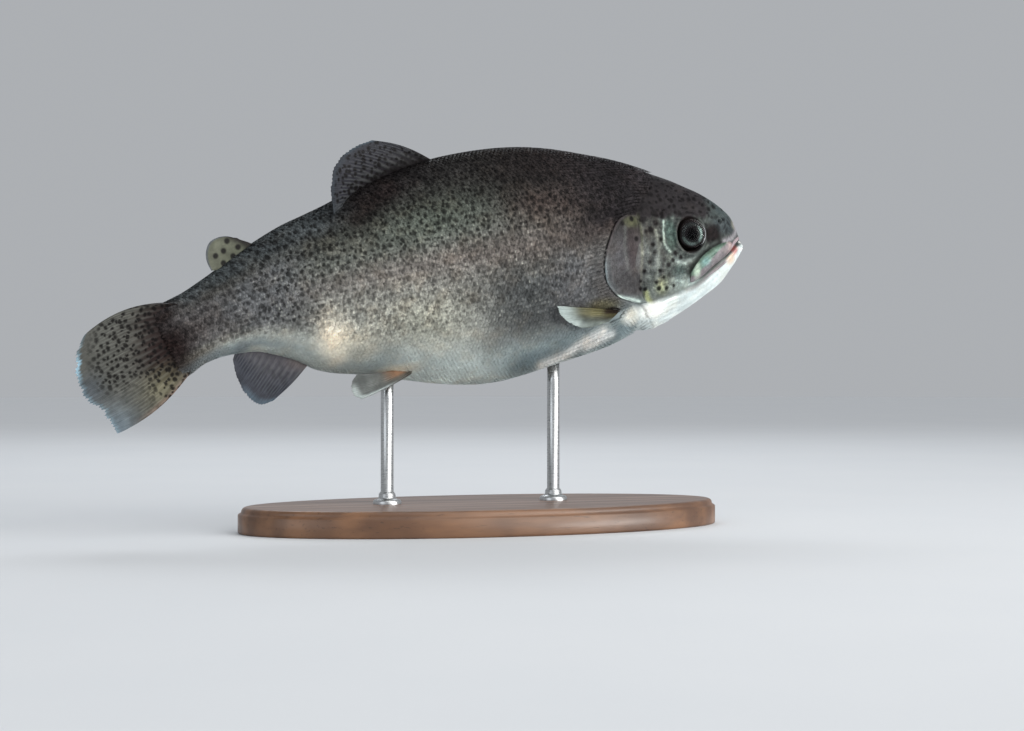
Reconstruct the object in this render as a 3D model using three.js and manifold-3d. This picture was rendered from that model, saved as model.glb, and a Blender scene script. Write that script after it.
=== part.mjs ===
// Rainbow trout, life size, held on a display stand by two short rods.
// Millimetres, +Z up, head towards +X, right flank towards -Y.
// The fish is laid out straight first: s runs back from the snout along the spine,
// y is out to its right side, z is towards its back.  Then it is bent to its pose.
import * as THREE from "three";
import Module from "manifold-3d";
import { mergeVertices } from "three/addons/utils/BufferGeometryUtils.js";

const wasm = await Module();
wasm.setup();

// ---- driving dimensions ------------------------------------------------------
const GAP = 0.3;                 // clearance between neighbouring solids
const GILL_END = 76;             // rear end of the gill cover
const TRUNK_END = 214;           // the vent, where the tail stalk starts
const BODY_END = 290;            // rear end of the flesh under the tail fin
const SPINE_END = 346;
const BELLY_HEIGHT = 123.4;      // height of the spine above the floor at POSE_AT
const POSE_AT = 140;             // the place along the spine that stands over the base
const POSE_X = -10;
const POSE_Y = 2;
const TURN = -20;                // the bent fish turned so that it lies along X, degrees
const ROLL = 4;                  // back leaned to the right side, degrees
const RING = 32;                 // facets round the body

const EYE = { s: 28.9, y: 10.9, z: 5.8, long: 8.0, deep: 7.2, tall: 8.5 };
const BASE = { long: 236, wide: 112, high: 12, bevel: 2 };
const ROD_RADIUS = 3;
const ROD_SEAT = 8;              // depth of the rod in the base
const RODS = [["stand_rod_front", 98], ["stand_rod_rear", 184]];

// ---- named courses along the fish, [s, value] --------------------------------
const PITCH = [[0, 3.4], [60, 5.8], [110, 7], [150, 8.7], [190, 11.8], [225, 15.7],
  [255, 22.8], [285, 29.8], [346, 33.9]];
const HEADING = [[0, 13], [70, 16], [150, 20], [210, 24], [260, 27], [290, 24], [346, 18]];

// the blunt front of the head: k, [s, z] of the top, [s, z] of the bottom, [s, width]
const FRONT = [
  [0, -1.0, 1.0, -1.0, 1.0, -1.0, 0],
  [1, 0.1, 4.5, -3.0, -0.8, -0.4, 3.9],
  [3, 0.9, 8.2, -2.2, -4.2, 1.2, 6.5],
  [6, 2.9, 12.6, 0.0, -7.9, 4.0, 8.8],
  [10, 6.6, 16.8, 4.7, -13.9, 8.2, 11.0],
  [15, 12.0, 21.2, 11.0, -20.2, 13.6, 13.1],
  [20, 18.2, 25.2, 18.0, -24.9, 19.4, 14.9],
  [26, 26, 29.1, 26, -29.9, 26, 16.6],
];
const BACK = [[26, 29.1], [32, 32], [40, 35.3], [47, 38.4], [57, 42.2], [67, 45.2],
  [77, 47.7], [87, 50.1], [97, 52], [107, 53.2], [117, 53.7], [127, 53.6], [137, 53],
  [147, 52], [160, 49.8], [175, 46.2], [190, 41.9], [201, 38.1], [212, 35.2], [224, 32.4],
  [235, 28.9], [248, 24.6], [258, 21.2], [265, 19.4], [272, 18], [280, 17.6], [290, 18.2]];
const BELLY = [[26, -29.9], [31, -32.7], [36, -35.2], [42, -37.9], [47, -39.8], [51, -40.2],
  [54, -39.8], [58, -40.6], [63, -42.5], [69, -44.7], [80, -47.4], [95, -50.2], [111, -53.4],
  [128, -55.7], [138, -55.8], [146, -55], [160, -52.5], [180, -47.2], [200, -41.3],
  [216, -36.8], [222, -34], [228, -29.6], [241, -22.4], [249, -18.6], [256, -16.9],
  [270, -14.6], [277, -14.5], [284, -15.8], [290, -16.4]];
const HALF_WIDTH = [[26, 16.6], [32, 17.8], [40, 19.4], [48, 20.8], [58, 21.9], [76, 22.7],
  [90, 23.8], [105, 24.9], [120, 25.6], [135, 25.8], [150, 25.4], [165, 24.2], [180, 22.3],
  [195, 19.9], [210, 17.1], [225, 14.1], [240, 11.2], [252, 9.1], [262, 7.7], [272, 6.5],
  [280, 5.2], [286, 3.6], [290, 2]];
const WIDEST_AT = [[0, 0.8], [6, -1.5], [15, -3], [26, -4], [40, -5], [55, -5], [75, -3],
  [110, -2], [150, -2], [200, -1], [250, 1.5], [290, 1]];
const UPPER_ROUND = [[0, 1], [10, 1.05], [26, 1.2], [45, 1.2], [70, 1.12], [100, 1.05],
  [150, 1.02], [220, 1.08], [290, 1.1]];
const LOWER_ROUND = [[0, 1], [10, 1.1], [26, 1.3], [45, 1.3], [60, 1.1], [80, 0.98],
  [130, 0.92], [200, 0.95], [230, 1], [290, 1]];
const STATIONS = [1, 3, 6, 10, 15, 20, 26, 33, 41, 48, 54, 61, 69, 78, 89, 101, 114, 128,
  142, 156, 170, 184, 199, 214, 222, 230, 238, 246, 254, 262, 270, 278, 285, 290];

// ---- outlines in side view, [s, z] --------------------------------------------
const JAW_TOP = [[-12, 1.0], [-1, 1.0], [2.6, -2.0], [7.6, -7], [15, -11.6], [22, -16],
  [29, -17.4], [34.5, -18.6], [40, -21.4]];
const JAW = [...JAW_TOP, [37.6, -31], [38, -60], [-12, -60]];
const MAXILLA = [[4.2, 1.4], [11.5, 2.1], [17, 0.5], [22, -2.1], [26, -4.8], [29, -8.2],
  [31.3, -12.4], [31.8, -15.2], [30, -16.6], [26.4, -16.4], [22, -15.1], [17, -12], [12.6, -9],
  [8.6, -6.2], [5.4, -2.8]];
const GILL_EDGE = [[60.5, 18.6], [65.8, 16.6], [69.4, 12.8], [71.8, 8.8], [73.7, 4.2],
  [75.2, -0.4], [GILL_END, -5], [GILL_END, -9.6], [75.2, -13.7], [72.5, -17.8], [68.8, -21],
  [62.8, -23.6], [58, -25]];
const GILL_COVER = [[57.3, 17.4], ...GILL_EDGE, [58.9, -14], [58, -5], [57.2, 6]];
const BEHIND_HEAD = [[59, 80], [59.6, 40], [61.4, 24.6], [63.2, 21.6], ...GILL_EDGE.slice(1),
  [55.6, -30], [54, -42], [54, -80], [400, -80], [400, 80]];
const THROAT = [[40.4, -21.6], [46, -23.9], [57.4, -25.4], [55.3, -30.2], [53.7, -42],
  [53.7, -80], [38.3, -80], [37.9, -31]];

// ---- fins: root line and free edge as [s, y, z]; both run from the first ray back ----
const DORSAL = {
  root: [[146, 0, 49], [160, 0, 47], [176, 0, 43], [192, 0, 38.4]],
  edge: [[177.8, 5, 64], [184, 6.5, 61.6], [190.5, 8.5, 58.4], [196, 10, 54], [200, 11.6, 48.4],
    [202.6, 13.4, 41.6], [203.2, 15.4, 34.6]],
  bow: [0, 0, 2.6], rays: 11, thick: 1.8, thin: 0.8,
};
const ADIPOSE = {
  root: [[235.4, 0, 26.4], [243.4, 0, 24], [251.4, 0, 21]],
  edge: [[243.6, 0.2, 32.4], [247.6, 0.4, 35], [251.4, 0.7, 35.8], [255.4, 1, 35], [258.2, 1.3, 31.6],
    [259.2, 1.4, 27.2], [258.6, 1.3, 22.8]],
  bow: [0, 0, 0.3], rays: 4, thick: 2.6, thin: 1.4,
};
const TAIL_FIN = {
  root: [[276, 0, 14.6], [281.5, 0, 8], [283, 0, 0.4], [281.5, 0, -7.2], [278, 0, -12]],
  edge: [[320.4, 0.4, 21.6], [326, 0.8, 16.6], [329.6, 0.4, 11.6], [331.8, 0.2, 6.4],
    [330.8, 0, 1.2], [329.4, -0.4, -4], [328.8, -0.8, -9.6], [329.2, -0.8, -15.4],
    [327.6, -0.4, -22.8]],
  bow: [0, 0, 0], flare: 4.6, rays: 15, thick: 3.4, thin: 0.8,
};
const ANAL = {
  root: [[221, 0, -29.5], [233, 0, -23.4], [245, 0, -17.4], [257, 0, -13.6]],
  edge: [[247.6, -1, -43.6], [253, -1, -44], [258.2, -0.8, -41.4], [261.6, -0.4, -36.6],
    [263, 0, -30.4], [263, 0, -24.4], [262, 0, -18.6]],
  bow: [0, 0, -1.4], rays: 9, thick: 1.8, thin: 0.8,
};
const PELVIC = {
  root: [[173.8, 9.8, -43.8], [176.4, 9.6, -43.6], [179.2, 9.2, -43.2], [182, 8.6, -42.8]],
  edge: [[207.6, 19, -50.2], [211, 17.2, -48.2], [210.8, 15, -45], [208.6, 13, -42.2],
    [205, 11.4, -40.2]],
  bow: [0, 0.4, -1.4], rays: 6, thick: 2, thin: 0.8,
};
const PELVIC_FOLDED = {
  root: PELVIC.root,
  edge: PELVIC.edge.map(([s, y, z]) => [s, y + 2.4, z + 8 + 0.5 * (y - 5)]),
  bow: [0, 2.2, -1], rays: 6, thick: 2, thin: 0.8,
};
const PECTORAL = {
  root: [[70.4, 18.8, -27.2], [71.8, 18.4, -28.8], [73.4, 17.6, -30.4], [75, 16.8, -32]],
  edge: [[104.4, 28.4, -21.4], [104, 28.2, -24.4], [101, 27.4, -27.8], [96.6, 26.2, -31.2],
    [91.6, 24.6, -33.2], [86.6, 22.8, -34]],
  bow: [0, 1.6, 0], rays: 8, thick: 2, thin: 0.8,
};

const COLOUR = {
  back: 0x4b4a41, head: 0x5d5d55, gill: 0x6b6860, jaw: 0xc9cfcb, maxilla: 0x8b9a90,
  throat: 0xd9dedb, tail: 0x5a564a, fin: 0x77776c, tailFin: 0x7c7766, belly: 0xa39a88,
  adipose: 0x6d6a4e, eye: 0x23231f, wood: 0x3a2a20, steel: 0xb9bcbd,
};

// ---- small tools ---------------------------------------------------------------
const radians = (degrees) => degrees * Math.PI / 180;

function course(points) {
  // a smooth line through [x, value] stations
  const x = points.map((p) => p[0]);
  const y = points.map((p) => p[1]);
  const last = x.length - 1;
  const step = (i) => (y[i + 1] - y[i]) / (x[i + 1] - x[i]);
  const slope = x.map((_, i) => {
    if (i === 0) return step(0);
    if (i === last) return step(last - 1);
    const before = x[i] - x[i - 1];
    const after = x[i + 1] - x[i];
    return (step(i - 1) * after + step(i) * before) / (before + after);
  });
  return (at) => {
    const a = Math.min(Math.max(at, x[0]), x[last]);
    let i = 0;
    while (i < last - 1 && a >= x[i + 1]) i += 1;
    const width = x[i + 1] - x[i];
    const t = (a - x[i]) / width;
    const t2 = t * t;
    const t3 = t2 * t;
    return (2 * t3 - 3 * t2 + 1) * y[i] + (t3 - 2 * t2 + t) * width * slope[i]
      + (3 * t2 - 2 * t3) * y[i + 1] + (t3 - t2) * width * slope[i + 1];
  };
}

const back = course(BACK);
const belly = course(BELLY);
const halfWidth = course(HALF_WIDTH);
const widestAt = course(WIDEST_AT);
const upperRound = course(UPPER_ROUND);
const lowerRound = course(LOWER_ROUND);
const front = [1, 2, 3, 4, 5, 6].map((column) => course(FRONT.map((row) => [row[0], row[column]])));
const FRONT_LAST = FRONT[FRONT.length - 1][0];

function section(k, angle, grow = 0) {
  // a point on the body: station k, angle 0 on the back, 90 degrees on the right side
  const up = Math.cos(angle);
  const out = Math.sin(angle);
  let [topS, topZ, lowS, lowZ, sideS, wide] = [k, 0, k, 0, k, 0];
  if (k < FRONT_LAST) {
    [topS, topZ, lowS, lowZ, sideS, wide] = front.map((f) => f(k));
  } else {
    [topZ, lowZ, wide] = [back(k), belly(k), halfWidth(k)];
  }
  const middle = widestAt(k);
  const round = up > 0 ? upperRound(k) : lowerRound(k);
  const endS = up > 0 ? topS : lowS;
  const s = sideS + (endS - sideS) * up * up;
  const y = (wide + grow) * Math.sign(out) * Math.abs(out) ** round;
  const z = middle + (up > 0 ? topZ + grow - middle : middle - lowZ + grow) * up;
  return [s, y, z];
}

// ---- the spine, and the bend from the straight layout to the pose ------------
const pitch = course(PITCH);
const heading = course(HEADING);
const SPINE_START = -14;
const VERTICAL = new THREE.Vector3(0, 0, 1);
const spine = [];
for (let s = SPINE_START; s <= SPINE_END; s += 1) {
  const a = radians(pitch(s));
  const b = radians(heading(s));
  const along = new THREE.Vector3(-Math.cos(a) * Math.cos(b), -Math.sin(b), -Math.sin(a) * Math.cos(b));
  along.normalize();
  const up = new THREE.Vector3(0, 0, 1).addScaledVector(along, -along.z).normalize();
  const right = new THREE.Vector3().crossVectors(up, along);
  const c = Math.cos(radians(ROLL));
  const d = Math.sin(radians(ROLL));
  const leanUp = up.clone().multiplyScalar(c).addScaledVector(right, d);
  const leanRight = right.clone().multiplyScalar(c).addScaledVector(up, -d);
  [along, leanUp, leanRight].forEach((v) => v.applyAxisAngle(VERTICAL, radians(TURN)));
  const at = new THREE.Vector3();
  if (spine.length > 0) {
    const before = spine[spine.length - 1];
    at.copy(before.at).addScaledVector(before.along, 0.5).addScaledVector(along, 0.5);
  }
  spine.push({ at, along, up: leanUp, right: leanRight });
}
const anchor = spine[POSE_AT - SPINE_START].at.clone();
const toPlace = new THREE.Vector3(POSE_X, POSE_Y, BELLY_HEIGHT).sub(anchor);
spine.forEach((one) => one.at.add(toPlace));

function pose(s, y, z) {
  const f = Math.min(Math.max(s - SPINE_START, 0), spine.length - 1.001);
  const i = Math.floor(f);
  const t = f - i;
  const a = spine[i];
  const b = spine[i + 1];
  return new THREE.Vector3().lerpVectors(a.at, b.at, t)
    .addScaledVector(new THREE.Vector3().lerpVectors(a.right, b.right, t), y)
    .addScaledVector(new THREE.Vector3().lerpVectors(a.up, b.up, t), z);
}

// ---- solids --------------------------------------------------------------------
function fromArrays(points, triangles) {
  // faces are turned outwards whichever way round the rows were listed
  const at = triangles.map((t) => t.map((i) => new THREE.Vector3(...points[i])));
  const volume = at.reduce((sum, [a, b, c]) => sum + a.dot(b.clone().cross(c)), 0);
  const turned = volume < 0 ? triangles.map(([a, b, c]) => [a, c, b]) : triangles;
  return wasm.Manifold.ofMesh(new wasm.Mesh({
    numProp: 3,
    vertProperties: new Float32Array(points.flat()),
    triVerts: new Uint32Array(turned.flat()),
  }));
}

function fromGeometry(geometry) {
  const plain = geometry.clone();
  plain.deleteAttribute("normal");
  plain.deleteAttribute("uv");
  const merged = mergeVertices(plain, 1e-4);
  return wasm.Manifold.ofMesh(new wasm.Mesh({
    numProp: 3,
    vertProperties: new Float32Array(merged.attributes.position.array),
    triVerts: new Uint32Array(merged.index.array),
  }));
}

function body(grow = 0) {
  const points = [[FRONT[0][1] - grow, 0, FRONT[0][2]]];
  STATIONS.forEach((k) => {
    for (let i = 0; i < RING; i += 1) points.push(section(k, 2 * Math.PI * i / RING, grow));
  });
  points.push([BODY_END + 0.8 + grow, 0, 0.8]);
  const triangles = [];
  for (let i = 0; i < RING; i += 1) {
    const j = (i + 1) % RING;
    triangles.push([0, 1 + j, 1 + i]);
    for (let r = 0; r < STATIONS.length - 1; r += 1) {
      const a = 1 + r * RING;
      const b = a + RING;
      triangles.push([a + i, a + j, b + j], [a + i, b + j, b + i]);
    }
    const end = 1 + (STATIONS.length - 1) * RING;
    triangles.push([points.length - 1, end + i, end + j]);
  }
  return fromArrays(points, triangles);
}

function spread(outline, by) {
  // the outline [s, z] moved outwards by a clearance
  const area = outline.reduce((sum, p, i) => {
    const q = outline[(i + 1) % outline.length];
    return sum + p[0] * q[1] - q[0] * p[1];
  }, 0);
  const turn = area > 0 ? 1 : -1;
  return outline.map((p, i) => {
    const before = outline[(i + outline.length - 1) % outline.length];
    const after = outline[(i + 1) % outline.length];
    const a = new THREE.Vector2(p[0] - before[0], p[1] - before[1]).normalize();
    const b = new THREE.Vector2(after[0] - p[0], after[1] - p[1]).normalize();
    const out = new THREE.Vector2(a.y + b.y, -a.x - b.x).normalize();
    const square = Math.max(0.5, Math.abs(out.dot(new THREE.Vector2(a.y, -a.x))));
    return [p[0] + turn * out.x * by / square, p[1] + turn * out.y * by / square];
  });
}

function prism(outline, inner = -80, slope = 0, outer = 80) {
  // the outline carried across the fish; its inner face may follow the side of the head
  const shape = new THREE.Shape(outline.map((p) => new THREE.Vector2(p[0], p[1])));
  const geometry = new THREE.ExtrudeGeometry(shape, { depth: 1, bevelEnabled: false });
  const at = geometry.attributes.position;
  for (let i = 0; i < at.count; i += 1) {
    const s = at.getX(i);
    const z = at.getY(i);
    const y = at.getZ(i) < 0.5 ? inner + slope * s : outer;
    at.setXYZ(i, s, y, z);
  }
  const index = [...Array(at.count).keys()];
  for (let i = 0; i < index.length; i += 3) {
    [index[i], index[i + 1]] = [index[i + 1], index[i]];
  }
  geometry.setIndex(index);
  return fromGeometry(geometry);
}

const otherSide = (solid) => solid.mirror([0, 1, 0]);

function fin(design) {
  // a thin plate ruled between its root line and its free edge, ribbed along the rays
  const line = (points) => new THREE.CatmullRomCurve3(points.map((p) => new THREE.Vector3(...p)));
  const root = line(design.root);
  const edge = line(design.edge);
  const bow = new THREE.Vector3(...design.bow);
  const across = design.rays * 2;
  const along = 4;
  const middle = [];
  for (let i = 0; i <= across; i += 1) {
    const v = i / across;
    const a = root.getPoint(v);
    const b = edge.getPoint(v);
    for (let j = 0; j <= along; j += 1) {
      const r = j / along;
      const p = a.clone().lerp(b, r).addScaledVector(bow, (1 - v) * Math.sin(Math.PI * r));
      p.z += (design.flare ?? 0) * (1 - 2 * v) * Math.sin(Math.PI * Math.min(1, 1.1 * r)) ** 1.2;
      middle.push(p);
    }
  }
  const at = (i, j) => middle[Math.min(Math.max(i, 0), across) * (along + 1)
    + Math.min(Math.max(j, 0), along)];
  const points = [];
  for (const side of [1, -1]) {
    for (let i = 0; i <= across; i += 1) {
      for (let j = 0; j <= along; j += 1) {
        const normal = at(i + 1, j).clone().sub(at(i - 1, j))
          .cross(at(i, j + 1).clone().sub(at(i, j - 1))).normalize();
        const rib = i % 2 === 1 ? 1 : 0.72;
        const r = j / along;
        const half = 0.5 * (design.thick * (1 - r) + design.thin * r) * rib;
        const p = at(i, j).clone().addScaledVector(normal, side * Math.max(half, 0.27));
        points.push([p.x, p.y, p.z]);
      }
    }
  }
  const count = (across + 1) * (along + 1);
  const n = (i, j, k) => k * count + i * (along + 1) + j;
  const triangles = [];
  const quad = (a, b, c, d) => triangles.push([a, b, c], [a, c, d]);
  for (let i = 0; i < across; i += 1) {
    for (let j = 0; j < along; j += 1) {
      quad(n(i, j, 0), n(i + 1, j, 0), n(i + 1, j + 1, 0), n(i, j + 1, 0));
      quad(n(i, j, 1), n(i, j + 1, 1), n(i + 1, j + 1, 1), n(i + 1, j, 1));
    }
    quad(n(i, 0, 1), n(i + 1, 0, 1), n(i + 1, 0, 0), n(i, 0, 0));
    quad(n(i, along, 0), n(i + 1, along, 0), n(i + 1, along, 1), n(i, along, 1));
  }
  for (let j = 0; j < along; j += 1) {
    quad(n(0, j, 0), n(0, j + 1, 0), n(0, j + 1, 1), n(0, j, 1));
    quad(n(across, j, 1), n(across, j + 1, 1), n(across, j + 1, 0), n(across, j, 0));
  }
  return fromArrays(points, triangles);
}

// ---- cutting the straight fish into its named parts ---------------------------
const whole = body();
const around = body(GAP);

const eyeSphere = (grow) => fromGeometry(new THREE.SphereGeometry(1, 18, 10)
  .scale(EYE.long + grow, EYE.deep + grow, EYE.tall + grow)
  .translate(EYE.s, EYE.y, EYE.z));
const eyeRight = eyeSphere(0);
const eyeRoom = eyeSphere(GAP).add(otherSide(eyeSphere(GAP)));

const behindHead = prism(BEHIND_HEAD);
const headOnly = prism(spread(BEHIND_HEAD, GAP));
const jawSpace = prism(JAW);
const jawRoom = prism(spread(JAW, GAP));
const throatSpace = prism(THROAT);
const throatRoom = prism(spread(THROAT, GAP));
const coverSpace = prism(GILL_COVER, 12, 0.09);
const coverRoom = prism(spread(GILL_COVER, GAP), 12 - GAP, 0.09);
const maxillaSpace = prism(MAXILLA, 5, 0.3);
const maxillaRoom = prism(spread(MAXILLA, GAP), 5 - GAP, 0.3);
const bothSides = (solid) => solid.add(otherSide(solid));

const head = whole.subtract(headOnly);
const jaw = head.intersect(jawSpace).subtract(bothSides(maxillaRoom));
const throat = head.intersect(throatSpace).subtract(jawRoom);
const cover = head.intersect(coverSpace);
const maxilla = head.intersect(maxillaSpace);
const skull = head.subtract(jawRoom).subtract(throatRoom).subtract(bothSides(coverRoom))
  .subtract(bothSides(maxillaRoom)).subtract(eyeRoom);
const rear = whole.intersect(behindHead);
const cutAt = (from, to) => prism([[from, -90], [to, -90], [to, 90], [from, 90]]);
const trunk = rear.intersect(cutAt(40, TRUNK_END - GAP / 2));
const stalk = rear.intersect(cutAt(TRUNK_END + GAP / 2, 400));

const pieces = [
  ["head_skull", skull, COLOUR.head, 0.45],
  ["head_lower_jaw", jaw, COLOUR.jaw, 0.4],
  ["head_throat", throat, COLOUR.throat, 0.4],
  ["head_maxilla_right", maxilla, COLOUR.maxilla, 0.4],
  ["head_maxilla_left", otherSide(maxilla), COLOUR.maxilla, 0.4],
  ["head_gill_cover_right", cover, COLOUR.gill, 0.4],
  ["head_gill_cover_left", otherSide(cover), COLOUR.gill, 0.4],
  ["eye_right", eyeRight, COLOUR.eye, 0.15],
  ["eye_left", otherSide(eyeRight), COLOUR.eye, 0.15],
  ["trunk", trunk, COLOUR.back, 0.42],
  ["tail_stalk", stalk, COLOUR.tail, 0.42],
  ["fin_dorsal", fin(DORSAL).subtract(around), COLOUR.fin, 0.5],
  ["fin_adipose", fin(ADIPOSE).subtract(around), COLOUR.adipose, 0.5],
  ["fin_tail", fin(TAIL_FIN).subtract(around), COLOUR.tailFin, 0.5],
  ["fin_anal", fin(ANAL).subtract(around), COLOUR.fin, 0.5],
  ["fin_pelvic_right", fin(PELVIC).subtract(around), COLOUR.belly, 0.5],
  ["fin_pelvic_left", otherSide(fin(PELVIC_FOLDED)).subtract(around), COLOUR.belly, 0.5],
  ["fin_pectoral_right", fin(PECTORAL).subtract(around), COLOUR.fin, 0.5],
  ["fin_pectoral_left", otherSide(fin(PECTORAL)).subtract(around), COLOUR.fin, 0.5],
];

function biggest(solid) {
  // one closed body: crumbs left by a cut are dropped
  const parts = solid.decompose();
  parts.sort((a, b) => b.volume() - a.volume());
  return parts[0];
}

function toGeometry(solid, place) {
  const mesh = solid.getMesh();
  const points = [];
  for (let i = 0; i < mesh.vertProperties.length; i += mesh.numProp) {
    const p = mesh.vertProperties.subarray(i, i + 3);
    points.push(...(place ? pose(p[0], p[1], p[2]).toArray() : p));
  }
  const geometry = new THREE.BufferGeometry();
  geometry.setAttribute("position", new THREE.Float32BufferAttribute(points, 3));
  geometry.setIndex([...mesh.triVerts]);
  return geometry;
}

function finish(name, geometry, colour, roughness, metalness = 0) {
  const flat = geometry.toNonIndexed();
  flat.computeVertexNormals();
  flat.setIndex([...Array(flat.attributes.position.count).keys()]);
  const material = new THREE.MeshStandardMaterial({ color: colour, roughness, metalness });
  const mesh = new THREE.Mesh(flat, material);
  mesh.name = name;
  return mesh;
}

// ---- the stand -------------------------------------------------------------------
function standSolids() {
  const posed = toGeometry(around, true);
  const held = fromGeometry(posed);
  const { long, wide, high, bevel } = BASE;
  const profile = [[0, 0], [0.97, 0], [1, 1.6 / high], [1, 1 - bevel / high], [0.975, 1], [0, 1]]
    .map((p) => new THREE.Vector2(p[0] * long / 2, p[1] * high));
  const slab = new THREE.LatheGeometry(profile, 48).rotateX(Math.PI / 2).scale(1, wide / long, 1);
  let base = fromGeometry(slab);
  const rods = RODS.map(([name, s]) => {
    const top = pose(s, 0, belly(s) + 8);
    const from = high - ROD_SEAT + GAP;
    const length = top.z - from;
    const rod = new THREE.CylinderGeometry(ROD_RADIUS, ROD_RADIUS, length, 28)
      .rotateX(Math.PI / 2).translate(top.x, top.y, from + length / 2);
    const hole = new THREE.CylinderGeometry(ROD_RADIUS + GAP, ROD_RADIUS + GAP, high, 28)
      .rotateX(Math.PI / 2).translate(top.x, top.y, high - ROD_SEAT + high / 2);
    base = base.subtract(fromGeometry(hole));
    return [name, fromGeometry(rod).subtract(held)];
  });
  return { base, rods };
}

const trout = new THREE.Group();
trout.name = "rainbow_trout_on_stand";
pieces.forEach(([name, solid, colour, roughness]) => {
  trout.add(finish(name, toGeometry(biggest(solid), true), colour, roughness));
});
const { base, rods } = standSolids();
trout.add(finish("stand_base", toGeometry(base, false), COLOUR.wood, 0.4));
rods.forEach(([name, solid]) => {
  trout.add(finish(name, toGeometry(biggest(solid), false), COLOUR.steel, 0.3, 1));
});

export default trout;
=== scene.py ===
# Rainbow trout on a display stand.  Metres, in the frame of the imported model.
# The fish is laid out straight first, in millimetres: s runs back from the snout along
# the spine, y out to its right side, z towards its back.  Then it is bent to its pose.
import math
import bpy
import numpy as np
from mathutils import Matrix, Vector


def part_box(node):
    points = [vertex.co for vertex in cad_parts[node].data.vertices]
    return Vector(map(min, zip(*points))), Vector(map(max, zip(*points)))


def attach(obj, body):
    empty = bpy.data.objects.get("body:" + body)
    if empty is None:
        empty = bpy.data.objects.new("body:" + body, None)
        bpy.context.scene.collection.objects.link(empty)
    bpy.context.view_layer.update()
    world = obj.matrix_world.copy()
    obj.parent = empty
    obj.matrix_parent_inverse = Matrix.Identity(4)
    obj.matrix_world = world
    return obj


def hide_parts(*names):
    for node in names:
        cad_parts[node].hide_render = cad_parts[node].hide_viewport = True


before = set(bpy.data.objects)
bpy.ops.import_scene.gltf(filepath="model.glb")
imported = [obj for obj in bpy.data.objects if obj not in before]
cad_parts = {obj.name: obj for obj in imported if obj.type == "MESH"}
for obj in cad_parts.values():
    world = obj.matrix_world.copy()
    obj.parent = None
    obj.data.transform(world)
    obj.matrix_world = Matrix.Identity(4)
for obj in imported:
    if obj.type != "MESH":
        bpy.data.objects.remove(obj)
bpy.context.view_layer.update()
rng = np.random.default_rng(7)
MM = 0.001

# ---- the body's courses, the same as the solids' ---------------------------------
PITCH = [(0, 3.4), (60, 5.8), (110, 7), (150, 8.7), (190, 11.8), (225, 15.7),
         (255, 22.8), (285, 29.8), (346, 33.9)]
HEADING = [(0, 13), (70, 16), (150, 20), (210, 24), (260, 27), (290, 24), (346, 18)]
ROLL = 4
TURN = -20             # degrees that the fish and the camera are turned from square on
SPINE_START = -14      # the spine's first sample, in front of the snout
POSE_AT = 140          # the station that lies at POSE_PLACE
POSE_PLACE = (-10, 2, 123.4)

DOME_END, BODY_END = 26, 290       # stations where the head's dome and the body end

# front of the head: k, top (s, z), bottom (s, z), side (s, half width)
FRONT = [(0, -1.0, 1.0, -1.0, 1.0, -1.0, 0), (1, 0.1, 4.5, -3.0, -0.8, -0.4, 3.9),
         (3, 0.9, 8.2, -2.2, -4.2, 1.2, 6.5), (6, 2.9, 12.6, 0.0, -7.9, 4.0, 8.8),
         (10, 6.6, 16.8, 4.7, -13.9, 8.2, 11.0), (15, 12.0, 21.2, 11.0, -20.2, 13.6, 13.1),
         (20, 18.2, 25.2, 18.0, -24.9, 19.4, 14.9), (26, 26, 29.1, 26, -29.9, 26, 16.6)]
BACK = [(26, 29.1), (32, 32), (40, 35.3), (47, 38.4), (57, 42.2), (67, 45.2), (77, 47.7),
        (87, 50.1), (97, 52), (107, 53.2), (117, 53.7), (127, 53.6), (137, 53), (147, 52),
        (160, 49.8), (175, 46.2), (190, 41.9), (201, 38.1), (212, 35.2), (224, 32.4),
        (235, 28.9), (248, 24.6), (258, 21.2), (265, 19.4), (272, 18), (280, 17.6),
        (290, 18.2)]
BELLY = [(26, -29.9), (31, -32.7), (36, -35.2), (42, -37.9), (47, -39.8), (51, -40.2),
         (54, -39.8), (58, -40.6), (63, -42.5), (69, -44.7), (80, -47.4), (95, -50.2),
         (111, -53.4), (128, -55.7), (138, -55.8), (146, -55), (160, -52.5), (180, -47.2),
         (200, -41.3), (216, -36.8), (222, -34), (228, -29.6), (241, -22.4), (249, -18.6),
         (256, -16.9), (270, -14.6), (277, -14.5), (284, -15.8), (290, -16.4)]
HALF_WIDTH = [(26, 16.6), (32, 17.8), (40, 19.4), (48, 20.8), (58, 21.9), (76, 22.7),
              (90, 23.8), (105, 24.9), (120, 25.6), (135, 25.8), (150, 25.4), (165, 24.2),
              (180, 22.3), (195, 19.9), (210, 17.1), (225, 14.1), (240, 11.2), (252, 9.1),
              (262, 7.7), (272, 6.5), (280, 5.2), (286, 3.6), (290, 2)]
WIDEST_AT = [(0, 0.8), (6, -1.5), (15, -3), (26, -4), (40, -5), (55, -5), (75, -3),
             (110, -2), (150, -2), (200, -1), (250, 1.5), (290, 1)]
UPPER_ROUND = [(0, 1), (10, 1.05), (26, 1.2), (45, 1.2), (70, 1.12), (100, 1.05),
               (150, 1.02), (220, 1.08), (290, 1.1)]
LOWER_ROUND = [(0, 1), (10, 1.1), (26, 1.3), (45, 1.3), (60, 1.1), (80, 0.98),
               (130, 0.92), (200, 0.95), (230, 1), (290, 1)]

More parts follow.
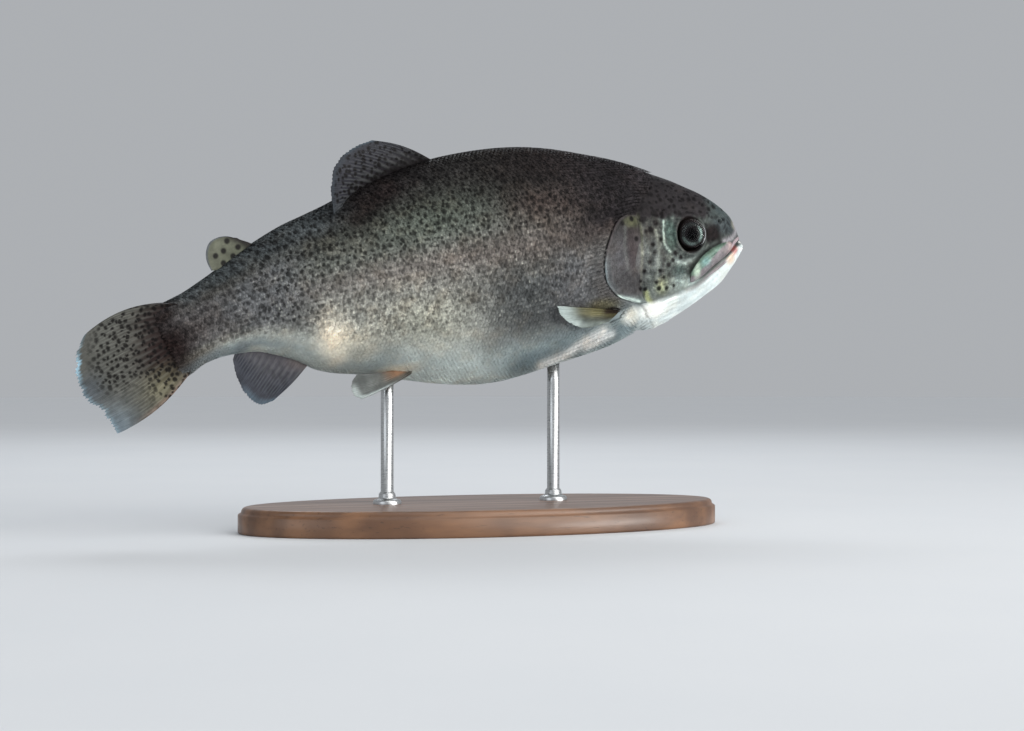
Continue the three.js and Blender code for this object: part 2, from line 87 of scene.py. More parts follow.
# lines on the side of the head and body, (s, z)
EYE = (28.9, 5.8)
MOUTH_LINE = [(-3, 0.9), (0.5, 0.4), (3.4, -1.4), (6.2, -4.0), (9.2, -6.4), (13, -8.9),
              (17.6, -11.8), (22.4, -15.0), (26.6, -16.9), (31, -18.2)]
GILL_EDGE = [(57.4, 17.4), (61.4, 17.6), (65.4, 16.2), (68.8, 13), (71.4, 8.6),
             (73.6, 4.2), (75.2, -0.4), (76, -5), (76, -9.6), (75.2, -13.7), (72.5, -17.8),
             (68.8, -21), (62.8, -23.6), (57.4, -26.2), (53.6, -30.5)]
COVER_FRONT = [(56.2, 16.8), (56.0, 14), (56.0, 9), (56.4, 0.5), (57.4, -9), (57.8, -16),
               (56.0, -21.5), (51.6, -26), (47.0, -29)]
LATERAL_LINE = [(58, 14), (70, 11.6), (84, 9.4), (110, 6.8), (150, 4.6), (200, 2.6),
                (250, 1.4), (290, 0.8)]
COAT_EDGE = [(38, 46), (41.5, 38), (46.5, 30), (52.5, 24), (60, 18.2)]

COAT_DEPTH = 0.45      # how far the skin lies under the outline of the coat, mm


def smooth(t):
    """t from 0 to 1, eased at both ends."""
    t = np.clip(t, 0, 1)
    return t * t * (3 - 2 * t)


def rise(x, start, reach):
    """0 below the start, 1 from a reach above it on."""
    return smooth((x - start) / reach)


def fall(x, end, reach):
    """0 above the end, 1 from a reach below it on."""
    return smooth((end - x) / reach)


def hump(x, middle, reach):
    """1 in the middle, falling softly to 0 a reach away."""
    return smooth(1 - np.abs(x - middle) / reach)


def bell(x, reach):
    """1 at 0, falling off as a bell curve."""
    return np.exp(-(x / reach) ** 2)


def units(vectors):
    """Vectors brought to length 1 along the last axis."""
    length = np.linalg.norm(vectors, axis=-1, keepdims=True)
    return vectors / np.maximum(length, 1e-9)


def run_of(points):
    """Distance run along a line of points, from 0."""
    return np.concatenate([[0], np.cumsum(np.linalg.norm(np.diff(points, axis=0), axis=1))])


def course(points):
    """A smooth line through (x, value) stations."""
    x = np.array([p[0] for p in points], float)
    y = np.array([p[1] for p in points], float)
    step = np.diff(y) / np.diff(x)
    gap = np.diff(x)
    slope = np.empty(len(x))
    slope[0] = step[0]
    slope[-1] = step[-1]
    slope[1:-1] = (step[:-1] * gap[1:] + step[1:] * gap[:-1]) / (gap[1:] + gap[:-1])

    def value(at):
        at = np.clip(np.asarray(at, float), x[0], x[-1])
        i = np.clip(np.searchsorted(x, at, side="right") - 1, 0, len(x) - 2)
        w = x[i + 1] - x[i]
        t = (at - x[i]) / w
        return ((2 * t**3 - 3 * t**2 + 1) * y[i] + (t**3 - 2 * t**2 + t) * w * slope[i]
                + (3 * t**2 - 2 * t**3) * y[i + 1] + (t**3 - t**2) * w * slope[i + 1])
    return value


def path(points, count):
    """A smooth curve through points of any dimension, as evenly spaced samples."""
    p = np.array(points, float)
    run = run_of(p)
    fine = np.linspace(0, run[-1], count * 6)
    dense = np.stack([course(list(zip(run, p[:, i])))(fine) for i in range(p.shape[1])], 1)
    length = run_of(dense)
    even = np.linspace(0, length[-1], count)
    return np.stack([np.interp(even, length, dense[:, i]) for i in range(p.shape[1])], 1)


def distance_to(s, z, line, count=24):
    """Distance of (s, z) from the curve through a few points, and the side (+1 on its left)."""
    line = path(line, count)
    best = np.full(s.shape, 1e9)
    side = np.ones(s.shape)
    for (ax, az), (dx, dz) in zip(line[:-1], np.diff(line, axis=0)):
        t = np.clip(((s - ax) * dx + (z - az) * dz) / (dx * dx + dz * dz), 0, 1)
        ex = s - ax - t * dx
        ez = z - az - t * dz
        r = np.hypot(ex, ez)
        near = r < best
        best = np.where(near, r, best)
        side = np.where(near, np.sign(dx * ez - dz * ex), side)
    return best, side


back, belly, half_width = course(BACK), course(BELLY), course(HALF_WIDTH)
widest_at = course(WIDEST_AT)
upper_round, lower_round = course(UPPER_ROUND), course(LOWER_ROUND)
front = [course([(row[0], row[c]) for row in FRONT]) for c in range(1, 7)]
lateral = course(LATERAL_LINE)


def top_at(k):
    """Height of the back's ridge at station k."""
    return np.where(k < DOME_END, front[1](k), back(k))


def low_at(k):
    """Height of the belly's ridge at station k."""
    return np.where(k < DOME_END, front[3](k), belly(k))


def section(k, angle):
    """Points on the body at station k: angle 0 on the back, 90 degrees on the right."""
    k = np.asarray(k, float)
    up, out = np.cos(angle), np.sin(angle)
    dome = k < DOME_END
    top_s = np.where(dome, front[0](k), k)
    low_s = np.where(dome, front[2](k), k)
    side_s = np.where(dome, front[4](k), k)
    wide = np.where(dome, front[5](k), half_width(k))
    middle = widest_at(k)
    upper = up > 0
    power = np.where(upper, upper_round(k), lower_round(k))
    end_s = np.where(upper, top_s, low_s)
    s = side_s + (end_s - side_s) * up * up
    y = wide * np.sign(out) * np.abs(out) ** power
    z = middle + np.where(upper, top_at(k) - middle, middle - low_at(k)) * up
    return np.stack([s, y, z], -1)


# ---- the spine and the pose --------------------------------------------------------
def make_spine():
    """Places, rightward and upward directions at every millimetre along the spine."""
    s = np.arange(SPINE_START, 347, 1.0)
    a = np.radians(course(PITCH)(s))
    b = np.radians(course(HEADING)(s))
    along = np.stack([-np.cos(a) * np.cos(b), -np.sin(b), -np.sin(a) * np.cos(b)], 1)
    along = units(along)
    up = units(np.array([0, 0, 1.0]) - along[:, 2:3] * along)
    right = np.cross(up, along)
    c, d = np.cos(np.radians(ROLL)), np.sin(np.radians(ROLL))
    up, right = up * c + right * d, right * c - up * d
    c, d = np.cos(np.radians(TURN)), np.sin(np.radians(TURN))
    turn = np.array([[c, -d, 0], [d, c, 0], [0, 0, 1]])
    along, up, right = along @ turn.T, up @ turn.T, right @ turn.T
    at = np.zeros((len(s), 3))
    at[1:] = np.cumsum((along[1:] + along[:-1]) / 2, 0)
    at += np.array(POSE_PLACE) - at[POSE_AT - SPINE_START]
    return at, right, up


SPINE_AT, SPINE_RIGHT, SPINE_UP = make_spine()


def pose(p):
    """Straight layout (s, y, z) in mm to the bent pose in metres."""
    f = np.clip(p[..., 0] - SPINE_START, 0, len(SPINE_AT) - 1.001)
    i = f.astype(int)
    t = (f - i)[..., None]
    beyond = (p[..., 0] - SPINE_START - f)[..., None] * (SPINE_AT[1] - SPINE_AT[0])
    at = SPINE_AT[i] * (1 - t) + SPINE_AT[i + 1] * t + beyond * (p[..., 0:1] < 0)
    right = SPINE_RIGHT[i] * (1 - t) + SPINE_RIGHT[i + 1] * t
    up = SPINE_UP[i] * (1 - t) + SPINE_UP[i + 1] * t
    return (at + right * p[..., 1:2] + up * p[..., 2:3]) * MM


# ---- finding places on the body's surface --------------------------------------------
def place_on_side(s, z):
    """Station and angle on the right side whose surface point is at (s, z)."""
    s = np.asarray(s, float)
    z = np.asarray(z, float)
    k = np.clip(s, 0.3, BODY_END)
    for _ in range(14):
        middle = widest_at(k)
        up = np.clip(np.where(z > middle, (z - middle) / (top_at(k) - middle),
                              (z - middle) / (middle - low_at(k))), -0.999, 0.999)
        found = section(k, np.arccos(up))[..., 0]
        k = np.clip(k + 0.8 * (s - found), 0.3, BODY_END)
    return k, np.arccos(up)


def on_side(s, z, lift=0.0):
    """A point on the right side at (s, z), raised off the surface by lift."""
    k, angle = place_on_side(s, z)
    here = section(k, angle)
    ds = section(k + 0.5, angle) - section(k - 0.2, angle)
    da = section(k, angle + 0.02) - section(k, angle - 0.02)
    normal = units(np.cross(da, ds))
    normal *= np.where(normal[..., 1:2] < 0, -1, 1)
    return here + normal * np.asarray(lift)[..., None]


def girths(stations, angles):
    """How far it is round the skin from the first angle to each one, at every station."""
    rings = section(stations[:, None], angles[None, :])
    steps = np.linalg.norm(np.diff(rings, axis=1), axis=2)
    return np.pad(np.cumsum(steps, 1), ((0, 0), (1, 0)))


def looked_up(table, row, column):
    """The value at a place between the entries of a table."""
    row = np.clip(row, 0, table.shape[0] - 1.001)
    column = np.clip(column, 0, table.shape[1] - 1.001)
    i, j = row.astype(int), column.astype(int)
    t, u = row - i, column - j
    return ((table[i, j] * (1 - t) + table[i + 1, j] * t) * (1 - u)
            + (table[i, j + 1] * (1 - t) + table[i + 1, j + 1] * t) * u)


# girth measured round the skin from the lateral line, used to lay scales and markings
GIRTH_S = np.arange(BODY_END + 1.0)
GIRTH_ANGLE = np.linspace(0, math.pi, 181)
GIRTH = girths(GIRTH_S, GIRTH_ANGLE)
over_middle = top_at(GIRTH_S) - widest_at(GIRTH_S)
line_share = (lateral(GIRTH_S) - widest_at(GIRTH_S)) / np.maximum(over_middle, 1)
LINE_ANGLE = np.arccos(np.clip(line_share, -1, 1))
LINE_GIRTH = np.array([np.interp(a, GIRTH_ANGLE, g) for a, g in zip(LINE_ANGLE, GIRTH)])


def girth_at(s, angle):
    """Girth from the lateral line: positive towards the back, at angle 0 to pi."""
    return np.interp(s, GIRTH_S, LINE_GIRTH) - looked_up(GIRTH, s, angle / math.pi * 180)


# ---- meshes --------------------------------------------------------------------------
def make_mesh(name, points, faces, lay=None, tone=None, uv=None, material=None,
              colour=None, straight=None):
    """points (n, 3) in metres; faces as a list of (m, 3) and (m, 4) index arrays."""
    mesh = bpy.data.meshes.new(name)
    mesh.vertices.add(len(points))
    mesh.vertices.foreach_set("co", np.asarray(points, np.float32).ravel())
    faces = [np.asarray(f, np.int32) for f in faces if len(f)]
    corners = np.concatenate([f.ravel() for f in faces])
    sizes = np.concatenate([np.full(len(f), f.shape[1], np.int32) for f in faces])
    mesh.loops.add(len(corners))
    mesh.loops.foreach_set("vertex_index", corners)
    mesh.polygons.add(len(sizes))
    starts = np.concatenate([[0], np.cumsum(sizes)[:-1]]).astype(np.int32)
    mesh.polygons.foreach_set("loop_start", starts)
    mesh.polygons.foreach_set("use_smooth", np.ones(len(sizes), bool))
    if uv is not None:
        layer = mesh.uv_layers.new(name="OFBake")
        layer.data.foreach_set("uv", np.asarray(uv, np.float32)[corners].ravel())
    mesh.update(calc_edges=True)
    mesh.validate()
    for label, values in (("lay", lay), ("tone", tone), ("straight", straight)):
        if values is not None:
            data = mesh.attributes.new(label, "FLOAT_VECTOR", "POINT").data
            data.foreach_set("vector", np.asarray(values, np.float32).ravel())
    if colour is not None:
        data = mesh.attributes.new("tint", "FLOAT_COLOR", "POINT").data
        data.foreach_set("color", np.asarray(colour, np.float32).ravel())
    piece = bpy.data.objects.new(name, mesh)
    bpy.context.scene.collection.objects.link(piece)
    if material is not None:
        mesh.materials.append(material)
    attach(piece, "root")
    return piece


def grid_faces(rows, columns, closed=False, start=0):
    i, j = np.meshgrid(np.arange(rows - 1), np.arange(columns if closed else columns - 1),
                       indexing="ij")
    n = (j + 1) % columns
    a = start + i * columns + j
    b = start + i * columns + n
    c = start + (i + 1) * columns + n
    d = start + (i + 1) * columns + j
    return np.stack([a.ravel(), b.ravel(), c.ravel(), d.ravel()], 1)


# ---- the skin ------------------------------------------------------------------------
def orbit_reach(s, z):
    """How far out from the middle of the eye a point lies: 1 at the rim of the socket."""
    ds, dz = s - EYE[0], z - EYE[1]
    return np.hypot(ds / 7.7, dz / 8.8)


def relief(s, y, z):
    """Height of the head's and body's folds over the plain outline, mm."""
    def off(line, count):
        return distance_to(s, z, line, count)[0]
    side = np.abs(y)
    flank = rise(side, 3, 3)
    h = np.zeros(s.shape)

    # the eye's socket, its rim, the brow over it and the fold behind it
    reach = orbit_reach(s, z)
    h -= 6.5 * fall(reach, 0.97, 0.16) * flank
    h += 0.55 * bell(reach - 1.09, 0.09) * flank
    h -= 0.35 * bell(reach - 1.32, 0.12) * flank
    fold = [(41.5, 18.2), (43.6, 14), (44.4, 8), (43.4, 1.2), (40.6, -2.6), (35, -5)]
    h += 0.42 * bell(off(fold, 24), 0.8) * flank
    behind = rise(s, 35, 3) * fall(s, 44, 3)
    h -= 0.45 * behind * smooth((9 - np.abs(z - 7)) / 4) * flank
    brow = [(19, 16.6), (24, 19), (30, 19.8), (36, 19), (41, 17.4)]
    h += 0.32 * bell(off(brow, 20), 2.0) * flank

    # two nostrils on each side, a low rim round them and a ridge between them
    for ns, nz, nr in ((9.6, 12.2, 0.9), (12.1, 11.5, 0.8)):
        d = np.hypot(s - ns, (z - nz) * 0.85)
        h -= 1.5 * smooth((nr - d) / 0.7) * (side > 2)
        h += 0.32 * bell(d - nr - 0.35, 0.4) * (side > 2)
    h += 0.3 * np.exp(-((s - 11.2) ** 2 + (z - 12.1) ** 2) / 6) * (side > 2)

    # sensory canals: under the eye and up the cheek
    canal = [(15, 5.6), (19.5, -0.6), (25.4, -4.6), (33, -6.0), (40.5, -4.6)]
    h -= 0.34 * bell(off(canal, 30), 0.75) * flank
    cheek = [(50.5, 15), (48.8, 6), (49.8, -6), (50.2, -14), (45, -20.6), (36, -21.5)]
    d = off(cheek, 40)
    h += 0.18 * bell(d, 1.8) * flank
    h -= 0.12 * bell(d - 2.2, 0.9) * flank

    # the cheek swells between the eye and the gill cover
    h += 0.5 * np.exp(-(((s - 43) / 7) ** 2 + ((z + 12) / 8) ** 2)) * flank

    # the mouth is a slit, widest at the very front
    wide = (0.3 + 0.4 * hump(s, 3.6, 4)) * fall(s, 32, 4)
    deep = 0.8 + 0.5 * hump(s, 5, 6)
    h -= deep * smooth((wide + 0.55 - off(MOUTH_LINE, 60)) / 0.7) * (s < 32)

    # the lower jaw's edge ridge, and the hollow between jaw and throat
    chin = [(3, -7), (8, -14.6), (15, -20.6), (24, -25.8), (33, -30)]
    h += 0.3 * bell(off(chin, 40), 1.6) * rise(side, 1.5, 2)
    under = (z < belly(s) + 9) | (s < DOME_END)
    keel = bell(y, 1.5) * rise(s, 5, 5) * fall(s, 46, 8)
    h -= 0.8 * keel * under * (z < -5)
    h += 0.35 * bell(side - 3.4, 1.3) * rise(s, 5, 5) * fall(s, 44, 6) * (z < -12)

    # the gill rays under the cover: overlapping curved ribs
    line = course([(34, -22.8), (40, -24.4), (47, -27), (53, -31), (58, -36)])
    below = line(s) - z
    ribs = np.abs(((below / 2.3) % 1.0) - 0.15)
    on = smooth(below / 1.4) * rise(s, 33, 5) * fall(s, 57, 3) * rise(side, 1, 2)
    h += (0.34 - 0.62 * ribs) * on * (z < -20)
    h -= 0.7 * bell(below, 0.8) * rise(s, 34, 4) * fall(s, 56, 3) * flank

    # the gill slit behind the cover's free edge
    gill, turn = distance_to(s, z, GILL_EDGE, 60)
    behind_gill = turn > 0
    h -= 0.4 * fall(gill, 1.0, 1.0) * flank * (s > 50)
    h -= 0.15 * fall(gill, 5.0, 4) * behind_gill * flank * (s > 50)
    under_cover = (turn < 0) * (s > 56) * (z > -25) * (z < 22)
    hollow = rise(gill, -2, 4) * fall(gill, 17, 6)
    h -= 0.9 * hollow * flank * under_cover

    # a shallow lateral line
    h -= 0.12 * bell(z - lateral(s), 0.5) * (s > 66) * (side > 2)

    # low swellings under the roots of the fins
    h += 0.9 * np.exp(-((s - 168) / 22) ** 4) * smooth((z - back(s) + 5) / 4)
    h += 0.7 * np.exp(-((s - 240) / 16) ** 4) * smooth((belly(s) + 4 - z) / 3)
    h += 0.9 * np.exp(-(((s - 72) / 5) ** 2 + ((z + 29) / 4) ** 2)) * flank
    h += 0.9 * np.exp(-(((s - 176) / 6) ** 2 + ((z + 45) / 3.5) ** 2)) * rise(side, 4, 3)

    # scaled skin lies a coat's depth under the outline; bare skin almost at it
    d, nape_turn = distance_to(s, z, COAT_EDGE, 30)
    bare = np.where(z > 18.2, smooth(0.5 + np.where(nape_turn > 0, -d, d) / 8),
                    smooth(0.5 + np.where(behind_gill, -gill, gill) / 2))
    bare = np.maximum(bare, s < 36)
    h -= 0.12 + (COAT_DEPTH - 0.12) * (1 - bare)
    return h


def surface_grid(stations, count):
    """Rings of the skin at the stations: points, girths and heights over the plain outline."""
    angle = np.arange(count) * 2 * math.pi / count
    k = np.asarray(stations)[:, None]
    plain = section(k, angle[None, :])
    around = np.roll(plain, -1, 1) - np.roll(plain, 1, 1)
    along = np.gradient(plain, axis=0)
    normal = units(np.cross(around, along))
    core = np.where(k < DOME_END, front[4](k) + 6 * (1 - k / DOME_END), plain[..., 0])
    outward = np.stack([plain[..., 0] - core, plain[..., 1], plain[..., 2] - widest_at(k)], -1)
    flip = np.sign((normal * outward).sum(-1, keepdims=True))
    flip[flip == 0] = 1
    normal *= flip
    height = relief(plain[..., 0], plain[..., 1], plain[..., 2])
    shown = plain + normal * height[..., None]
    half = np.where(angle <= math.pi, angle, 2 * math.pi - angle)
    girth = girth_at(plain[..., 0], np.broadcast_to(half[None, :], plain.shape[:2]))
    return shown, girth, height


def lay_of(straight, girth):
    """Where a point is for the markings: s, girth from the lateral line, share of height."""
    s, z = straight[..., 0], straight[..., 2]
    middle = lateral(s)
    reach = np.where(z > middle, top_at(s) - middle, middle - low_at(s))
    share = (z - middle) / np.maximum(reach, 1)
    return np.stack([s, girth, np.clip(share, -1.1, 1.1)], -1)


HEAD_RING = 300        # points round the skin of the head; the body has half as many
BODY_RING = HEAD_RING // 2


def skin_arrays():
    """The skin without its plates: finer rings on the head, joined to coarser ones behind."""
    t = np.linspace(0, 1, 96)[1:]
    head_rows = np.concatenate([DOME_END * (0.25 * t + 0.75 * t ** 1.5),
                                np.arange(26.45, 82, 0.47)])
    body_rows = np.concatenate([np.arange(83.4, 270, 1.9), np.arange(270, 289.6, 1.2), [289.95]])
    head, head_girth, head_h = surface_grid(head_rows, HEAD_RING)
    body, body_girth, body_h = surface_grid(body_rows, BODY_RING)
    points = [head[0].mean(0, keepdims=True), head.reshape(-1, 3), body.reshape(-1, 3),
              body[-1].mean(0, keepdims=True) + [[0.5, 0, 0]]]
    straight = np.concatenate(points)
    girth = np.concatenate([[0], head_girth.ravel(), body_girth.ravel(), [0]])
    height = np.concatenate([[-2.5], head_h.ravel(), body_h.ravel(), [0]])
    body_start = 1 + len(head_rows) * HEAD_RING
    i = np.arange(HEAD_RING)
    nose = np.stack([0 * i, 1 + i, 1 + (i + 1) % HEAD_RING], 1)
    j = np.arange(BODY_RING)
    after = (j + 1) % BODY_RING
    last = body_start - HEAD_RING
    corner = np.stack([last + 2 * j, last + 2 * j + 1, body_start + j], 1)
    span = np.stack([last + 2 * j + 1, last + (2 * j + 2) % HEAD_RING, body_start + after,
                     body_start + j], 1)
    end = body_start + (len(body_rows) - 1) * BODY_RING
    tail = np.stack([end + after, end + j, 0 * j + len(straight) - 1], 1)
    quads = np.concatenate([grid_faces(len(head_rows), HEAD_RING, True, 1), span,
                            grid_faces(len(body_rows), BODY_RING, True, body_start)])
    return straight, girth, height, np.concatenate([nose, corner, tail]), quads


def ruled(start, end, v):
    """Points between two lines: at v = 0 on the start, at v = 1 on the end."""
    return start[:, None, :] * (1 - v[None, :, None]) + end[:, None, :] * v[None, :, None]


def gill_cover_points(side):
    """The gill cover, from the cheek back to a free edge that rounds over and tucks under."""
    rows, roll = 90, 0.4
    a, b = path(COVER_FRONT, rows), path(GILL_EDGE, rows)
    v = np.linspace(0, 1, 44)
    flat = ruled(a, b, v)
    height = gill_cover_lift(*np.meshgrid(np.linspace(0, 1, rows), v, indexing="ij"), flat)
    turn = np.linspace(0, 2.7, 8)[1:]
    rim = b[:, None, :] + units(b - a)[:, None, :] * (roll * np.sin(turn))[None, :, None]
    rim_height = height[:, -1:] - roll * (1 - np.cos(turn))[None, :]
    flat = np.concatenate([flat, rim], 1)
    height = np.concatenate([height, rim_height], 1)
    points = on_side(flat[..., 0], flat[..., 1], height)
    points[..., 1] *= side
    return points


def gill_cover_lift(u, v, flat):
    """Height of the gill cover over the head, along (u) and across it (v)."""
    s, z = flat[..., 0], flat[..., 1]
    h = -0.75 + 0.85 * smooth(v / 0.2) + 0.32 * rise(v, 0.15, 0.7)
    h -= 1.1 * (1 - smooth(u / 0.1)) + 2.0 * (1 - fall(u, 1, 0.16))
    seam = course([(55, -8.5), (64, -13.2), (70, -16.6), (78, -19.5)])
    h -= 0.12 * np.exp(-((z - seam(s)) / 0.9) ** 2) * rise(s, 58, 3)
    low_seam = course([(48, -22), (56, -23.8), (62, -23.2), (70, -21.8)])
    h -= 0.2 * np.exp(-((z - low_seam(s)) / 0.7) ** 2) * fall(s, 62, 4)
    crease = course([(-32, 56), (-20, 59), (-9, 60), (0.5, 59.3), (10, 58.8), (22, 59.2)])
    h -= 0.25 * np.exp(-((s - crease(z)) / 0.8) ** 2)
    ray = np.arctan2(z - 17, s - 57)
    h += 0.018 * np.sin(ray * 46) * rise(s, 61, 5) * rise(z, -22, 6)
    h -= 0.1 * rise(v, 0.86, 0.05) * fall(v, 0.985, 0.03)
    return h


MAXILLA_TOP = [(4.6, 1.4), (8, 1.5), (11.5, 1.0), (17, -0.7), (22, -3.5), (26, -6.6), (28.6, -9.8),
               (30.2, -12.8), (30.6, -15.6)]
MAXILLA_LOW = [(4.2, -0.8), (6.6, -3.5), (9.6, -6.1), (13.4, -8.9), (17.9, -11.9),
               (22.4, -14.9), (26.2, -16.8), (29.0, -17.6), (31.0, -16.8)]


def maxilla_points(side):
    """The upper jaw's plate, domed, with a groove along it."""
    top, low = path(MAXILLA_TOP, 70), path(MAXILLA_LOW, 70)
    v = np.linspace(0, 1, 26)
    flat = ruled(low, top, v)
    u = np.linspace(0, 1, 70)[:, None]
    across = 2 * v[None, :] - 1
    dome = (1 - np.abs(across) ** 3.2) ** 0.62
    ends = smooth(u / 0.1) * fall(u, 1, 0.05)
    h = -1.0 + (1.75 - 0.35 * u) * dome * (0.3 + 0.7 * ends)
    h -= 0.38 * bell(v[None, :] - 0.52 - 0.1 * u, 0.06) * rise(u, 0.3, 0.12)
    h += 0.12 * np.sin(u * 9 + v[None, :] * 5)
    points = on_side(flat[..., 0], flat[..., 1], h)
    points[..., 1] *= side
    return points


def lip_points(upper):
    """A roll of skin along the edge of the mouth, from one corner round to the other."""
    if upper:
        line = [(14.0, -7.0), (9.4, -4.6), (6.2, -1.6), (3.2, 1.2), (0.9, 2.5), (-0.4, 3.0)]
        radius, count = 1.15, 46
    else:
        line = [(27, -18.6), (22.6, -16.8), (17.8, -13.7), (13.2, -10.9), (9, -8.2), (5.4, -5.6),
                (2.2, -2.9), (-0.6, -1.6), (-2.0, -1.3)]
        radius, count = 1.1, 70
    flat = path(line, count)
    right = on_side(flat[:, 0], flat[:, 1], np.full(count, -0.55))
    u = np.linspace(0, 1, count)
    right[:, 1] *= np.where(u > 0.9, np.clip((1 - u) / 0.1, 0, 1) ** 0.5, 1)
    left = right[::-1] * [1, -1, 1]
    middle = np.concatenate([right, left[1:]])
    n = len(middle)
    along = units(np.gradient(middle, axis=0))
    out = units(np.cross(along, [0, 0, 1.0]))
    upward = np.cross(out, along)
    turn = np.linspace(0, 2 * math.pi, 17)[:-1]
    taper = smooth(np.minimum(np.arange(n), np.arange(n)[::-1]) / (0.22 * n)) * 0.8 + 0.2
    size = radius * taper[:, None, None]
    return (middle[:, None, :] + size * (np.cos(turn)[None, :, None] * out[:, None, :]
                                         + 0.8 * np.sin(turn)[None, :, None] * upward[:, None, :]))


def build_skin(material):
    """The skin with its plates and lips, as one mesh."""
    straight, girth, height, corners, quads = skin_arrays()
    extras = []
    for side in (1, -1):
        extras.append((gill_cover_points(side), False, COVER))
        extras.append((maxilla_points(side), False, MAXILLA))
    extras.append((lip_points(True), True, UPPER_LIP))
    extras.append((lip_points(False), True, LOWER_LIP))
    points, girth_parts, heights = [straight], [girth], [height]
    kinds = [np.zeros(len(straight))]
    grids = [quads]
    for shape, closed, kind in extras:
        rows, columns = shape.shape[:2]
        grids.append(grid_faces(rows, columns, closed, sum(len(p) for p in points)))
        flat = shape.reshape(-1, 3)
        _, angle = place_on_side(flat[:, 0], flat[:, 2])
        points.append(flat)
        girth_parts.append(girth_at(flat[:, 0], angle))
        heights.append(np.zeros(len(flat)))
        kinds.append(np.full(len(flat), kind))
    straight, girth, height, kind = (np.concatenate(v)
                                     for v in (points, girth_parts, heights, kinds))
    lay = lay_of(straight, girth)
    skin = make_mesh("skin", pose(straight), [corners, np.concatenate(grids)], lay,
                     material=material, straight=straight,
                     colour=tint(lay, straight[:, 2], kind, height))
    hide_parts("head_skull", "head_lower_jaw", "head_throat", "head_maxilla_right",
                "head_maxilla_left", "head_gill_cover_right", "head_gill_cover_left", "trunk",
                "tail_stalk")


def skin_uv(s, girth, side):
    """An unwrap of the skin's own shape: right side in the lower half, left in the upper."""
    u = 0.02 + 0.96 * np.clip(s + 4, 0, 296) / 296
    v = 0.25 + np.clip(girth, -85, 85) / 85 * 0.225
    return u, v if side > 0 else v + 0.5


# ---- colours of the markings -----------------------------------------------------------
def linear(*rgb):
    """An sRGB colour given as 0 to 255, as linear light."""
    c = np.array(rgb, float) / 255
    return np.where(c <= 0.04045, c / 12.92, ((c + 0.055) / 1.055) ** 2.4)


SHADES = [(-1.0, (216, 226, 223)), (-0.82, (200, 211, 209)), (-0.58, (188, 191, 184)),
          (-0.3, (168, 168, 160)), (0.0, (138, 136, 131)), (0.3, (111, 114, 108)),
          (0.6, (78, 80, 75)), (0.85, (46, 44, 44)), (1.0, (35, 33, 34))]


def blob(s, z, place, reach, soft=0.5):
    """A soft oval patch on the side of the fish."""
    r = np.hypot((s - place[0]) / reach[0], (z - place[1]) / reach[1])
    return smooth((1 + soft - r) / (2 * soft))


def streak(s, z, line, wide):
    """A soft stripe along a line on the side of the fish."""
    return bell(distance_to(s, z, line)[0], wide)


class Paint:
    """The colour of every point, with shades laid over one another."""

    def __init__(self, ground):
        self.colour = ground

    def over(self, colours, share):
        self.colour = self.colour + (colours - self.colour) * share[..., None]

    def __call__(self, shade, share):
        self.over(linear(*shade), share)


COVER, MAXILLA, UPPER_LIP, LOWER_LIP, SCALE = 1, 2, 3, 4, 5

CHEEK_SPOTS = [(54.8, 14.6, 1.2), (53.2, 9.0, 0.9), (58.7, 6.0, 1.0), (50.6, 9.6, 1.4),
               (47.6, 12.6, 1.3), (47.4, 17.2, 1.5), (45.8, 4.6, 0.8), (50.2, 2.6, 1.0),
               (49.7, -1.4, 0.9), (52.9, -5.4, 1.0), (55.8, -9.6, 0.9), (47.6, -10.2, 0.9),
               (42.6, -7.8, 1.1), (40.0, -5.7, 0.9), (38.4, -2.4, 1.0), (35.5, -4.6, 0.8),
               (45.4, -13.6, 0.8), (49.4, -15.6, 0.9), (47.8, -18.6, 1.0), (43.6, -19, 0.9),
               (39.6, -18, 0.8), (57.7, -18, 0.9), (55.2, -18.5, 0.8), (60.0, 15.6, 1.1),
               (65.2, 13.8, 0.9), (57.6, -14.4, 0.8), (43.4, 16.6, 0.9)]


